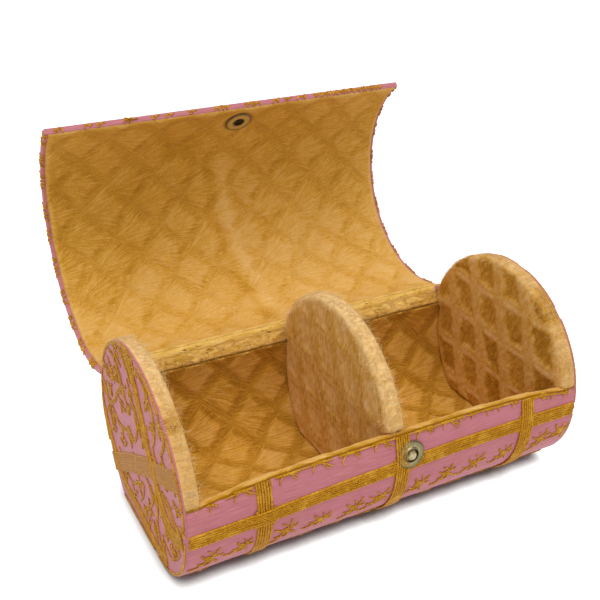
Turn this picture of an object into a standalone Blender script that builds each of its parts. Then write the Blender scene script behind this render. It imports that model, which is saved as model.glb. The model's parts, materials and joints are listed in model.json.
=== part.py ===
"""Bangle box: a cloth-covered trough with two lined compartments and a hinged lid, standing open.

Lengths are in metres. X runs along the box, -Y is the front that carries the press stud, +Z is up,
and the origin is on the flat underside, straight below the middle of the round section. Each layer
of the box is a solid of its own, because the real one is glued up from boards, a satin cover outside
and velvet inside. The section is round but for its foot, which curves in slowly under the front wall
and more tightly under the back wall, where the open lid needs the support.
"""

import math

import bmesh
import bpy

# The box as a whole
LENGTH = 0.190
SECTION_R = 0.052
SECTION_RISE = 0.040
FRONT_FOOT_SHARE = 0.9
BACK_FOOT_R = 0.008
GAP = 0.0003

# The three layers of the trough
COVER_T = 0.0006
BOARD_T = 0.0020
LINING_T = 0.0017
FOLD_R = 0.0021
FRONT_END_RISE = 0.0102
FRONT_BOW = 0.0038
BOW_POWER = 4
COVER_TUCK = 0.0006
BACK_WALL_RISE = 0.0097

# The two ends and the divider
END_BOARD_T = 0.0028
PAD_T = 0.0035
PAD_ROUND = 0.0014
DIVIDER_BOARD_T = 0.0028
SLEEVE_T = 0.0023
SLEEVE_ROUND = 0.0018
DIVIDER_DROP = 0.0005

# The hinge at the top of the back wall
HINGE_ANGLE = math.radians(17.8)
HINGE_INSET = 0.0013
HINGE_ROLL_R = 0.0011
STRIP_T = 0.0012

# The lid, measured closed
LID_COVER_T = 0.0006
LID_BOARD_T = 0.0011
LID_LINING_T = 0.0013
LID_CLEARANCE = 0.0008
LID_SNAP_ROOM = 0.0018
LID_BACK_ANGLE = math.radians(19.3)
LID_BLEND_ANGLE = math.radians(75)
LID_FREE_ANGLE = math.radians(188)
LID_OPEN_ANGLE = math.radians(134)

# The press stud on the front wall and its socket in the lid
SNAP_X = 0.0050
SNAP_RISE = 0.0035
STUD_FLANGE_R = 0.0065
STUD_FLANGE_T = 0.0005
STUD_RIM_T = 0.0008
STUD_RIM_W = 0.0007
STUD_BEAD_R = 0.0039
STUD_BEAD_W = 0.0011
STUD_BEAD_T = 0.0012
BEAD_CREST_SHARES = (0.7, 0.3)
KNOB_R = 0.0020
KNOB_NECK_R = 0.0016
KNOB_H = 0.0019
KNOB_FLAT_SHARE = 0.6
KNOB_EDGE_SHARES = (0.92, 0.9)
KNOB_GIRTH_SHARE = 0.75
KNOB_NECK_SHARE = 0.45
RIVET_R = 0.0012
RIVET_HEAD_R = 0.0042
RIVET_HEAD_T = 0.0005
SOCKET_FLANGE_R = 0.0070
SOCKET_FLANGE_T = 0.0005
SOCKET_BARREL_R = 0.0036
SOCKET_MOUTH_R = 0.0024
SOCKET_WALL_T = 0.0005
SPRING_WIRE_R = 0.00022
SPRING_BAR_SPACING = 0.0027
CAP_R = 0.0062
CAP_T = 0.0006
CAP_DOME = 0.0009
CAP_UPPER_SHARES = (0.45, 0.82)
CAP_LOWER_SHARES = (0.8, 0.35)

# How finely curves are divided
WALL_STEPS = 9
FRONT_FOOT_STEPS = 12
BACK_FOOT_STEPS = 4
CROWN_STEPS = 26
FOLD_STEPS = 4
LID_BACK_STEPS = 9
LID_FRONT_STEPS = 18
ROUND_STEPS = 32
ROLL_SIDES = 12
BEVEL_STEPS = 3
BEND_STEPS = 6
STATION_SHARES = (-1.0, -0.88, -0.7, -0.4, 0.0, 0.4, 0.7, 0.88, 1.0)
MERGE = 0.00002
SMOOTH_ANGLE = math.radians(40)

# Colour, roughness and metallic value of each finish
SATIN = ((0.58, 0.24, 0.34), 0.55, 0.0)
VELVET = ((0.58, 0.33, 0.12), 0.9, 0.0)
STRIP_CLOTH = ((0.45, 0.26, 0.09), 0.95, 0.0)
HARDBOARD = ((0.30, 0.20, 0.12), 0.8, 0.0)
CARDBOARD = ((0.52, 0.42, 0.30), 0.85, 0.0)
ANTIQUE_BRASS = ((0.34, 0.29, 0.18), 0.35, 1.0)
SPRING_STEEL = ((0.62, 0.58, 0.45), 0.25, 1.0)

# Places worked out from the sizes above
CENTRE = (0.0, SECTION_RISE)
FRONT_FOOT_R = SECTION_RISE * FRONT_FOOT_SHARE
FRONT_FOOT_Y = math.sqrt((SECTION_R - FRONT_FOOT_R) ** 2 - (SECTION_RISE - FRONT_FOOT_R) ** 2)
FRONT_FOOT_ANGLE = math.atan2(SECTION_RISE - FRONT_FOOT_R, FRONT_FOOT_Y)
BACK_FOOT_Y = math.sqrt((SECTION_R - BACK_FOOT_R) ** 2 - (SECTION_RISE - BACK_FOOT_R) ** 2)
BACK_FOOT_ANGLE = math.atan2(SECTION_RISE - BACK_FOOT_R, BACK_FOOT_Y)
BOARD_OFFSET = COVER_T + GAP
LINING_OFFSET = BOARD_OFFSET + BOARD_T + GAP
INSIDE_OFFSET = LINING_OFFSET + LINING_T
END_X = LENGTH / 2
END_COVER_IN = END_X - COVER_T
END_BOARD_OUT = END_COVER_IN - GAP
END_BOARD_IN = END_BOARD_OUT - END_BOARD_T
PAD_OUT = END_BOARD_IN - GAP
PAD_IN = PAD_OUT - PAD_T
COVER_END_X = END_COVER_IN - GAP
WALL_END_X = END_BOARD_IN - GAP
STRIP_END_X = PAD_IN - GAP
LID_BACK_R = SECTION_R + LID_CLEARANCE
LID_FRONT_R = LID_BACK_R + LID_SNAP_ROOM
LID_T = LID_COVER_T + GAP + LID_BOARD_T + GAP + LID_LINING_T
HINGE_R = LID_BACK_R + HINGE_INSET
HINGE_Y = HINGE_R * math.cos(HINGE_ANGLE)
HINGE_Z = SECTION_RISE + HINGE_R * math.sin(HINGE_ANGLE)
LID_FRONT_CENTRE = (
    -LID_SNAP_ROOM * math.cos(LID_BLEND_ANGLE),
    SECTION_RISE - LID_SNAP_ROOM * math.sin(LID_BLEND_ANGLE),
)


def clear_scene():
    """Removes whatever the file holds, such as the startup cube."""
    for obj in list(bpy.data.objects):
        bpy.data.objects.remove(obj, do_unlink=True)


def new_collection(name):
    """A collection linked to the scene."""
    collection = bpy.data.collections.new(name)
    bpy.context.scene.collection.children.link(collection)
    return collection


def material(name, finish):
    """A Principled material with a finish's colour, roughness and metallic value."""
    colour, roughness, metallic = finish
    made = bpy.data.materials.new(name)
    made.use_nodes = True
    shader = made.node_tree.nodes["Principled BSDF"]
    shader.inputs["Base Color"].default_value = (*colour, 1.0)
    shader.inputs["Roughness"].default_value = roughness
    shader.inputs["Metallic"].default_value = metallic
    return made


def finish_part(obj, finish):
    """Gives a piece its own material and smooth shading between its real edges."""
    obj.data.materials.clear()
    obj.data.materials.append(material(obj.name + "_finish", finish))
    if obj.type == "MESH":
        obj.data.shade_smooth()
        obj.data.set_sharp_from_angle(angle=SMOOTH_ANGLE)
    return obj


def link(obj, collection):
    """Puts a new object in a collection and returns it."""
    collection.objects.link(obj)
    return obj


def hide_cutter(obj):
    """Marks a helper, so that it is no part of the box."""
    obj.hide_render = True
    obj.display_type = "WIRE"
    return obj


def arc(centre, radius, start, end, steps):
    """Points (y, z) on an arc, both ends included. Angles run from +Y towards +Z."""
    angles = [start + (end - start) * step / steps for step in range(steps + 1)]
    return [
        (centre[0] + radius * math.cos(angle), centre[1] + radius * math.sin(angle))
        for angle in angles
    ]


def wall_profile(offset, front, back):
    """The trough's section at a depth below its outside, from the front edge round to the back edge."""
    radius = SECTION_R - offset
    front_foot = (-FRONT_FOOT_Y, FRONT_FOOT_R)
    back_foot = (BACK_FOOT_Y, BACK_FOOT_R)
    front_turn = math.pi + FRONT_FOOT_ANGLE
    back_turn = 2 * math.pi - BACK_FOOT_ANGLE
    under = 1.5 * math.pi
    points = arc(CENTRE, radius, front, front_turn, WALL_STEPS)
    points += arc(front_foot, FRONT_FOOT_R - offset, front_turn, under, FRONT_FOOT_STEPS)[1:]
    points += arc(back_foot, BACK_FOOT_R - offset, under, back_turn, BACK_FOOT_STEPS)
    points += arc(CENTRE, radius, -BACK_FOOT_ANGLE, back, WALL_STEPS)[1:]
    return points


def back_angle_at(offset, rise):
    """Angle at which the back wall reaches a rise above the centre, at a depth below the outside."""
    return math.asin(rise / (SECTION_R - offset))


def front_angle_at(x):
    """Angle of the front wall's finished top edge, which bows up between the two end pads."""
    share = min(abs(x) / PAD_IN, 1)
    rise = FRONT_END_RISE + FRONT_BOW * (1 - share**BOW_POWER)
    return math.pi - math.asin(rise / SECTION_R)


def cover_section(x):
    """The cover's outer face. Its top edge is tucked just under the lining's fold."""
    front = front_angle_at(x) + COVER_TUCK / SECTION_R
    return wall_profile(0, front, back_angle_at(0, BACK_WALL_RISE))


def board_section(x):
    """The board's outer face. Its front edge lies under the lining's fold."""
    front = front_angle_at(x) + (LINING_T + GAP) / SECTION_R
    return wall_profile(BOARD_OFFSET, front, back_angle_at(BOARD_OFFSET, BACK_WALL_RISE))


def lining_section(x):
    """The lining's face: over the front wall's top, down the inside, across and up the back."""
    top = front_angle_at(x)
    inside_r = SECTION_R - INSIDE_OFFSET
    fold_r = inside_r + FOLD_R
    fold_turn = FOLD_R / fold_r
    fold_centre = arc(CENTRE, fold_r, top + fold_turn, top + fold_turn, 1)[0]
    upward = top - math.pi / 2
    outer_edge = arc(CENTRE, SECTION_R - BOARD_OFFSET, top, top, 1)[0]
    fold = arc(fold_centre, FOLD_R, upward, upward - math.pi / 2, FOLD_STEPS)
    inside = wall_profile(INSIDE_OFFSET, top + fold_turn, back_angle_at(INSIDE_OFFSET, BACK_WALL_RISE))
    return [outer_edge] + fold + inside[1:]


def lofted_layer(name, section_at, end_x, thickness, inward, finish, collection):
    """A layer of the trough: a grid bent round the sections along X, with Solidify for its thickness."""
    stations = [-end_x] + [share * PAD_IN for share in STATION_SHARES] + [end_x]
    sections = [section_at(x) for x in stations]
    across = len(sections[0])
    bm = bmesh.new()
    bmesh.ops.create_grid(bm, x_segments=len(stations) - 1, y_segments=across - 1, size=1)
    for vert in bm.verts:
        station = round((vert.co.x + 1) / 2 * (len(stations) - 1))
        place = round((vert.co.y + 1) / 2 * (across - 1))
        vert.co = (stations[station], *sections[station][place])
    mesh = bpy.data.meshes.new(name)
    bm.to_mesh(mesh)
    bm.free()
    obj = link(bpy.data.objects.new(name, mesh), collection)
    solidify = obj.modifiers.new("thickness", "SOLIDIFY")
    solidify.thickness = thickness
    solidify.offset = 1 if inward else -1
    solidify.use_even_offset = True
    return finish_part(obj, finish)


def flat_plate(name, outline, x_low, x_high, collection):
    """A plate across the box: a filled flat curve with an extrude, made a mesh with whole end faces."""
    curve = bpy.data.curves.new(name + "_outline", "CURVE")
    curve.dimensions = "2D"
    curve.fill_mode = "BOTH"
    curve.extrude = (x_high - x_low) / 2
    spline = curve.splines.new("POLY")
    spline.points.add(len(outline) - 1)
    for point, (y, z) in zip(spline.points, outline):
        point.co = (y, z, 0, 1)
    spline.use_cyclic_u = True
    flat = link(bpy.data.objects.new(name + "_flat", curve), collection)
    flat.location = ((x_low + x_high) / 2, 0, 0)
    flat.rotation_euler = (math.pi / 2, 0, math.pi / 2)
    bpy.context.view_layer.update()
    graph = bpy.context.evaluated_depsgraph_get()
    mesh = bpy.data.meshes.new_from_object(flat.evaluated_get(graph))
    bm = bmesh.new()
    bm.from_mesh(mesh)
    bmesh.ops.remove_doubles(bm, verts=bm.verts, dist=MERGE)
    bmesh.ops.dissolve_limit(bm, angle_limit=math.radians(1), verts=bm.verts, edges=bm.edges)
    bmesh.ops.recalc_face_normals(bm, faces=bm.faces)
    bm.to_mesh(mesh)
    bm.free()
    mesh.name = name
    obj = link(bpy.data.objects.new(name, mesh), collection)
    obj.matrix_world = flat.matrix_world
    bpy.data.objects.remove(flat)
    bpy.data.curves.remove(curve)
    return obj


def round_faces(obj, sides, width):
    """Rounds the rim of a plate's end faces. sides holds -1, +1 or both, for the low and high X face."""
    mesh = obj.data
    weights = mesh.attributes.new("bevel_weight_edge", "FLOAT", "EDGE")
    for edge in mesh.edges:
        depths = [mesh.vertices[index].co.z for index in edge.vertices]
        on_rim = any(all(depth * side > MERGE for depth in depths) for side in sides)
        weights.data[edge.index].value = 1.0 if on_rim else 0.0
    bevel = obj.modifiers.new("soft rim", "BEVEL")
    bevel.limit_method = "WEIGHT"
    bevel.width = width
    bevel.segments = BEVEL_STEPS


def boolean(obj, other, operation):
    """Cuts or joins a piece with a helper, exactly."""
    modifier = obj.modifiers.new(other.name, "BOOLEAN")
    modifier.operation = operation
    modifier.solver = "EXACT"
    modifier.object = other


def turned(name, profile, collection):
    """A turned piece about its own Z, from a profile of (radius, height) running down the outside."""
    mesh = bpy.data.meshes.new(name)
    points = [(radius, 0, height) for radius, height in profile]
    mesh.from_pydata(points, [(index, index + 1) for index in range(len(points) - 1)], [])
    obj = link(bpy.data.objects.new(name, mesh), collection)
    screw = obj.modifiers.new("turning", "SCREW")
    screw.steps = ROUND_STEPS
    screw.render_steps = ROUND_STEPS
    screw.use_merge_vertices = True
    screw.merge_threshold = MERGE
    return obj


def stand_on_wall(obj, centre, radius, angle, x):
    """Puts a turned piece on the section, its Z pointing straight out of the wall."""
    y, z = arc(centre, radius, angle, angle, 1)[0]
    obj.location = (x, y, z)
    obj.rotation_euler = (angle - math.pi / 2, 0, 0)


def drill(name, radius, low, high, place, collection):
    """A round cutter that stands on the wall like the piece that goes through it."""
    profile = [(0, high), (radius, high), (radius, low), (0, low)]
    cutter = hide_cutter(turned(name, profile, collection))
    stand_on_wall(cutter, *place)
    return cutter


def make_trough(parts):
    """The cover, the board and the velvet lining of the trough."""
    cover = lofted_layer("base_cover", cover_section, COVER_END_X, COVER_T, True, SATIN, parts)
    board = lofted_layer("base_board", board_section, WALL_END_X, BOARD_T, True, HARDBOARD, parts)
    lofted_layer("base_lining", lining_section, WALL_END_X, LINING_T, False, VELVET, parts)
    return cover, board


def closed_outline(offset):
    """The whole section, a circle with a flat foot, at a depth below the outside."""
    crown = arc(CENTRE, SECTION_R - offset, 0, math.pi, CROWN_STEPS)[1:-1]
    return wall_profile(offset, math.pi, 0) + crown


def pad_outline():
    """An end pad: full size above the trough's edges, and inside the lining below them."""
    front = front_angle_at(END_X) - GAP / SECTION_R
    back = back_angle_at(0, BACK_WALL_RISE + GAP)
    depth = INSIDE_OFFSET + GAP
    crown = arc(CENTRE, SECTION_R, back, front, CROWN_STEPS)
    return wall_profile(depth, front, back_angle_at(depth, BACK_WALL_RISE + GAP)) + crown


def lip_outline():
    """The velvet that wraps an end board's rim above the trough's edges."""
    front = front_angle_at(END_X) - GAP / SECTION_R
    back = back_angle_at(0, BACK_WALL_RISE + GAP)
    outer = arc(CENTRE, SECTION_R, back, front, CROWN_STEPS)
    inner = arc(CENTRE, SECTION_R - COVER_T, front, back, CROWN_STEPS)
    return outer + inner


def end_plate(name, side, outline, near, far, collection):
    """A plate between two distances from the middle of the box, at its left (-1) or right (+1) end."""
    low, high = sorted((side * near, side * far))
    return flat_plate(name, outline, low, high, collection)


def make_ends(parts, helpers):
    """The board, the satin cover and the velvet pad of each end."""
    for end, side in (("left_end_", -1), ("right_end_", 1)):
        outline = closed_outline(BOARD_OFFSET)
        board = end_plate(end + "board", side, outline, END_BOARD_IN, END_BOARD_OUT, parts)
        finish_part(board, HARDBOARD)
        cover = end_plate(end + "cover", side, closed_outline(0), END_COVER_IN, END_X, parts)
        finish_part(cover, SATIN)
        pad = end_plate(end + "pad", side, pad_outline(), PAD_IN, PAD_OUT, parts)
        round_faces(pad, (-side,), PAD_ROUND)
        lip = end_plate(end + "lip", side, lip_outline(), PAD_IN + PAD_ROUND, COVER_END_X, helpers)
        hide_cutter(lip)
        boolean(pad, lip, "UNION")
        finish_part(pad, VELVET)


def strip_slope():
    """Foot and direction of the hinge strip's sloping face, from the lining up to the hinge axis."""
    foot_rise = BACK_WALL_RISE + GAP
    foot_y = math.sqrt((SECTION_R - INSIDE_OFFSET) ** 2 - foot_rise**2)
    foot = (foot_y, SECTION_RISE + foot_rise)
    run = math.dist(foot, (HINGE_Y, HINGE_Z))
    return foot, ((HINGE_Y - foot[0]) / run, (HINGE_Z - foot[1]) / run), run


def strip_outline():
    """The strip's section: its sloping face, its edge at the hinge and its seat on the back wall."""
    foot, along, run = strip_slope()
    reach = run - HINGE_ROLL_R - GAP
    top = (foot[0] + along[0] * reach, foot[1] + along[1] * reach)
    under = (top[0] + along[1] * STRIP_T, top[1] - along[0] * STRIP_T)
    heel = (math.sqrt(SECTION_R**2 - (foot[1] - SECTION_RISE) ** 2), foot[1])
    return [foot, heel, under, top]


def divider_outline(inset, bottom):
    """The divider's section, or one a stated inset smaller, with its foot at a stated height."""
    foot, along, run = strip_slope()
    depth = INSIDE_OFFSET + GAP + inset
    crown_r = SECTION_R - DIVIDER_DROP - inset
    front = front_angle_at(0) - (GAP + inset) / SECTION_R
    heel_angle = back_angle_at(depth, foot[1] - SECTION_RISE)
    below = wall_profile(depth, front, heel_angle)
    flat = min(z for y, z in below)
    below = [(y, bottom if z < flat + MERGE else z) for y, z in below]
    step = GAP + inset
    slope_foot = (foot[0] - along[1] * step, foot[1] + along[0] * step)
    near = slope_foot[0] * along[0] + (slope_foot[1] - SECTION_RISE) * along[1]
    away = slope_foot[0] ** 2 + (slope_foot[1] - SECTION_RISE) ** 2 - crown_r**2
    climb = -near + math.sqrt(near**2 - away)
    slope_top = (slope_foot[0] + along[0] * climb, slope_foot[1] + along[1] * climb)
    start = math.atan2(slope_top[1] - SECTION_RISE, slope_top[0])
    crown = arc(CENTRE, crown_r, start, front, CROWN_STEPS)
    return below + [slope_foot] + crown


def make_divider(parts, helpers):
    """A board in a velvet sleeve that is open underneath, standing between the two compartments."""
    seat = INSIDE_OFFSET + GAP
    half = DIVIDER_BOARD_T / 2
    inset = SLEEVE_T + GAP
    board = flat_plate("divider_board", divider_outline(inset, seat), -half, half, parts)
    finish_part(board, HARDBOARD)
    outer = half + inset
    sleeve = flat_plate("divider_sleeve", divider_outline(0, seat), -outer, outer, parts)
    round_faces(sleeve, (-1, 1), SLEEVE_ROUND)
    pocket = flat_plate(
        "divider_pocket", divider_outline(SLEEVE_T, seat - SLEEVE_T), -half - GAP, half + GAP, helpers
    )
    hide_cutter(pocket)
    boolean(sleeve, pocket, "DIFFERENCE")
    finish_part(sleeve, VELVET)


def make_hinge(parts):
    """The padded strip on the back wall and the rolled cloth that the lid turns on."""
    strip = flat_plate("hinge_strip", strip_outline(), -STRIP_END_X, STRIP_END_X, parts)
    finish_part(strip, STRIP_CLOTH)
    circle = arc((HINGE_Y, HINGE_Z), HINGE_ROLL_R, 0, 2 * math.pi, ROLL_SIDES)[:-1]
    roll = flat_plate("hinge_roll", circle, -STRIP_END_X, STRIP_END_X, parts)
    finish_part(roll, STRIP_CLOTH)


def lid_arcs(depth):
    """The lid's closed section from its hinged edge to its free edge, at a depth below its outside."""
    rise = LID_T - depth
    back = arc(CENTRE, LID_BACK_R + rise, LID_BACK_ANGLE, LID_BLEND_ANGLE, LID_BACK_STEPS)
    front_r = LID_FRONT_R + rise
    return back + arc(LID_FRONT_CENTRE, front_r, LID_BLEND_ANGLE, LID_FREE_ANGLE, LID_FRONT_STEPS)[1:]


def about_hinge(points):
    """Section points measured from the hinge axis, where the lid's parent stands."""
    return [(y - HINGE_Y, z - HINGE_Z) for y, z in points]


def trimmed(points, trim):
    """A section shortened by the same length at both ends."""
    def step(near, far):
        share = trim / math.dist(near, far)
        return tuple(a + (b - a) * share for a, b in zip(near, far))

    return [step(points[0], points[1])] + points[1:-1] + [step(points[-1], points[-2])]


def lid_sheet(name, section, end_x, thickness, inward, collection):
    """A sheet of the lid: one strip of faces round the section, with Solidify for its thickness."""
    bm = bmesh.new()
    bmesh.ops.create_grid(bm, x_segments=1, y_segments=len(section) - 1, size=1)
    section_place = bm.verts.layers.int.new("section_place")
    for vert in bm.verts:
        place = round((vert.co.y + 1) / 2 * (len(section) - 1))
        vert[section_place] = place
        vert.co = (vert.co.x * end_x, *section[place])
    mesh = bpy.data.meshes.new(name)
    bm.to_mesh(mesh)
    bm.free()
    obj = link(bpy.data.objects.new(name, mesh), collection)
    solidify = obj.modifiers.new("thickness", "SOLIDIFY")
    solidify.thickness = thickness
    solidify.offset = 1 if inward else -1
    solidify.use_even_offset = True
    return obj


def turn_in_rim(obj, inner):
    """Folds a cloth strip in from the edge of the cover's sheet, down to the inner section."""
    bm = bmesh.new()
    bm.from_mesh(obj.data)
    section_place = bm.verts.layers.int["section_place"]
    outline = [edge for edge in bm.edges if edge.is_boundary]
    made = bmesh.ops.extrude_edge_only(bm, edges=outline)["geom"]
    for item in made:
        if isinstance(item, bmesh.types.BMVert):
            item.co.yz = inner[item[section_place]]
    bm.to_mesh(obj.data)
    bm.free()


def make_lid(parts, hinge):
    """The lid's satin cover with its edge turned in, its board and its velvet lining."""
    cover = lid_sheet("lid_cover", about_hinge(lid_arcs(0)), END_X, LID_COVER_T, True, parts)
    turn_in_rim(cover, about_hinge(lid_arcs(LID_T)))
    finish_part(cover, SATIN)
    trim = LID_COVER_T + GAP
    board_line = trimmed(about_hinge(lid_arcs(trim)), trim)
    board = lid_sheet("lid_board", board_line, END_X - trim, LID_BOARD_T, True, parts)
    finish_part(board, CARDBOARD)
    lining_line = trimmed(about_hinge(lid_arcs(LID_T)), trim)
    lining = lid_sheet("lid_lining", lining_line, END_X - trim, LID_LINING_T, False, parts)
    finish_part(lining, VELVET)
    for obj in (cover, board, lining):
        obj.parent = hinge
    return cover, board, lining


def stud_angle():
    """Angle of the press stud on the front wall."""
    return math.pi - math.asin(SNAP_RISE / SECTION_R)


def make_stud(parts, helpers, cover, board):
    """The press stud on the front wall and the rivet that holds it from inside the wall."""
    place = (CENTRE, SECTION_R, stud_angle(), SNAP_X)
    edge_r_share, edge_h_share = KNOB_EDGE_SHARES
    crest_in_share, crest_out_share = BEAD_CREST_SHARES
    profile = [
        (0, GAP + KNOB_H),
        (KNOB_R * KNOB_FLAT_SHARE, GAP + KNOB_H),
        (KNOB_R * edge_r_share, GAP + KNOB_H * edge_h_share),
        (KNOB_R, GAP + KNOB_H * KNOB_GIRTH_SHARE),
        (KNOB_NECK_R, GAP + KNOB_H * KNOB_NECK_SHARE),
        (STUD_BEAD_R - STUD_BEAD_W, GAP + STUD_FLANGE_T),
        (STUD_BEAD_R - STUD_BEAD_W * crest_in_share, GAP + STUD_BEAD_T),
        (STUD_BEAD_R - STUD_BEAD_W * crest_out_share, GAP + STUD_BEAD_T),
        (STUD_BEAD_R, GAP + STUD_FLANGE_T),
        (STUD_FLANGE_R - STUD_RIM_W, GAP + STUD_FLANGE_T),
        (STUD_FLANGE_R - STUD_RIM_W / 2, GAP + STUD_RIM_T),
        (STUD_FLANGE_R, GAP + STUD_RIM_T / 2),
        (STUD_FLANGE_R - STUD_RIM_W / 4, GAP),
        (0, GAP),
    ]
    stud = turned("snap_stud", profile, parts)
    stand_on_wall(stud, *place)
    finish_part(stud, ANTIQUE_BRASS)
    head_out = -(BOARD_OFFSET + BOARD_T - RIVET_HEAD_T)
    rivet_profile = [
        (0, 0),
        (RIVET_R, 0),
        (RIVET_R, head_out),
        (RIVET_HEAD_R, head_out),
        (RIVET_HEAD_R, head_out - RIVET_HEAD_T),
        (0, head_out - RIVET_HEAD_T),
    ]
    rivet = turned("snap_rivet", rivet_profile, parts)
    stand_on_wall(rivet, *place)
    finish_part(rivet, ANTIQUE_BRASS)
    shank = drill("rivet_hole", RIVET_R + GAP, -LINING_OFFSET, COVER_T, place, helpers)
    seat = drill("rivet_seat", RIVET_HEAD_R + GAP, -LINING_OFFSET, head_out + GAP, place, helpers)
    boolean(cover, shank, "DIFFERENCE")
    boolean(board, shank, "DIFFERENCE")
    boolean(board, seat, "DIFFERENCE")


def lid_snap_angle():
    """Angle on the lid's front arc that faces the stud when the lid is shut."""
    reach = SECTION_R + GAP + KNOB_H
    height = SECTION_RISE + reach * math.sin(stud_angle())
    return math.pi - math.asin((height - LID_FRONT_CENTRE[1]) / LID_FRONT_R)


def make_socket(parts, helpers, hinge, lid_layers):
    """The socket sunk in the lid's lining, its wire spring and the cap outside the lid."""
    cover, board, lining = lid_layers
    angle = lid_snap_angle()
    place = (
        (LID_FRONT_CENTRE[0] - HINGE_Y, LID_FRONT_CENTRE[1] - HINGE_Z),
        LID_FRONT_R,
        angle,
        SNAP_X,
    )
    depth = LID_LINING_T + GAP + LID_BOARD_T
    floor = depth - GAP - SOCKET_WALL_T
    bore_r = SOCKET_BARREL_R - SOCKET_WALL_T
    profile = [
        (0, depth - GAP),
        (SOCKET_BARREL_R, depth - GAP),
        (SOCKET_BARREL_R, -GAP),
        (SOCKET_FLANGE_R - SOCKET_FLANGE_T / 2, -GAP),
        (SOCKET_FLANGE_R, -GAP - SOCKET_FLANGE_T / 2),
        (SOCKET_FLANGE_R - SOCKET_FLANGE_T / 2, -GAP - SOCKET_FLANGE_T),
        (SOCKET_MOUTH_R + SOCKET_FLANGE_T, -GAP - SOCKET_FLANGE_T),
        (SOCKET_MOUTH_R, -GAP - SOCKET_FLANGE_T / 2),
        (SOCKET_MOUTH_R, 0),
        (bore_r, SOCKET_WALL_T / 2),
        (bore_r, floor),
        (0, floor),
    ]
    socket = turned("snap_socket", profile, parts)
    stand_on_wall(socket, *place)
    finish_part(socket, ANTIQUE_BRASS)
    under = LID_T + GAP
    upper_r_share, upper_h_share = CAP_UPPER_SHARES
    lower_r_share, lower_h_share = CAP_LOWER_SHARES
    cap_profile = [
        (0, under + CAP_T + CAP_DOME),
        (CAP_R * upper_r_share, under + CAP_T + CAP_DOME * upper_h_share),
        (CAP_R * lower_r_share, under + CAP_T + CAP_DOME * lower_h_share),
        (CAP_R, under + CAP_T / 2),
        (CAP_R - CAP_T / 2, under),
        (RIVET_R, under),
        (RIVET_R, depth),
        (0, depth),
    ]
    cap = turned("snap_cap", cap_profile, parts)
    stand_on_wall(cap, *place)
    finish_part(cap, ANTIQUE_BRASS)
    barrel_hole = drill("socket_hole", SOCKET_BARREL_R + GAP, -LID_T, depth, place, helpers)
    flange_seat = drill("flange_seat", SOCKET_FLANGE_R + GAP, -LID_T, 0, place, helpers)
    cap_hole = drill("cap_hole", RIVET_R + GAP, 0, LID_T + LID_T, place, helpers)
    boolean(lining, flange_seat, "DIFFERENCE")
    boolean(lining, barrel_hole, "DIFFERENCE")
    boolean(board, barrel_hole, "DIFFERENCE")
    boolean(cover, cap_hole, "DIFFERENCE")
    spring = make_spring(parts, bore_r)
    level = (SOCKET_WALL_T / 2 + floor) / 2
    stand_on_wall(spring, place[0], LID_FRONT_R + level, angle, SNAP_X)
    finish_part(spring, SPRING_STEEL)
    for obj in (socket, cap, spring, barrel_hole, flange_seat, cap_hole):
        obj.parent = hinge


def make_spring(parts, bore_r):
    """One bent wire whose two bars grip the stud's knob, the ends turned along the socket's wall."""
    wire_r = bore_r - GAP - SPRING_WIRE_R
    half = SPRING_BAR_SPACING / 2
    turn = math.asin(half / wire_r)
    bend = arc((0, 0), wire_r, -turn, turn, BEND_STEPS)
    lower_end = arc((0, 0), wire_r, math.pi + 2 * turn, math.pi + turn, BEND_STEPS // 2)
    upper_end = arc((0, 0), wire_r, math.pi - turn, math.pi - 2 * turn, BEND_STEPS // 2)
    path = lower_end + bend + upper_end
    curve = bpy.data.curves.new("snap_spring", "CURVE")
    curve.dimensions = "3D"
    curve.bevel_depth = SPRING_WIRE_R
    curve.bevel_resolution = 1
    curve.use_fill_caps = True
    spline = curve.splines.new("POLY")
    spline.points.add(len(path) - 1)
    for point, (x, y) in zip(spline.points, path):
        point.co = (x, y, 0, 1)
    return link(bpy.data.objects.new("snap_spring", curve), parts)


def make_box():
    """Builds the whole box, its lid turned open about the hinge."""
    clear_scene()
    parts = new_collection("bangle_box")
    helpers = new_collection("cutters")
    hinge = link(bpy.data.objects.new("lid_hinge", None), parts)
    hinge.location = (0, HINGE_Y, HINGE_Z)
    cover, board = make_trough(parts)
    make_ends(parts, helpers)
    make_divider(parts, helpers)
    make_hinge(parts)
    make_stud(parts, helpers, cover, board)
    lid_layers = make_lid(parts, hinge)
    make_socket(parts, helpers, hinge, lid_layers)
    hinge.rotation_euler = (-LID_OPEN_ANGLE, 0, 0)


make_box()
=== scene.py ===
# %% [markdown]
# # A cloth-covered bangle box, standing open
#
# The box is a half-round trough with a curved lid, both glued up from card and then dressed: pink satin
# outside, tan velvet inside, and gold thread couched on the satin in bands and small stars. The card,
# the hinge and the press stud come from the frame. This lesson makes everything that is cloth or
# thread, piece by piece, and lights it like the product photograph.

# %% The frame and the tools
import json
import math

import bpy
import numpy as np
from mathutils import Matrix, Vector, noise


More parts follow.
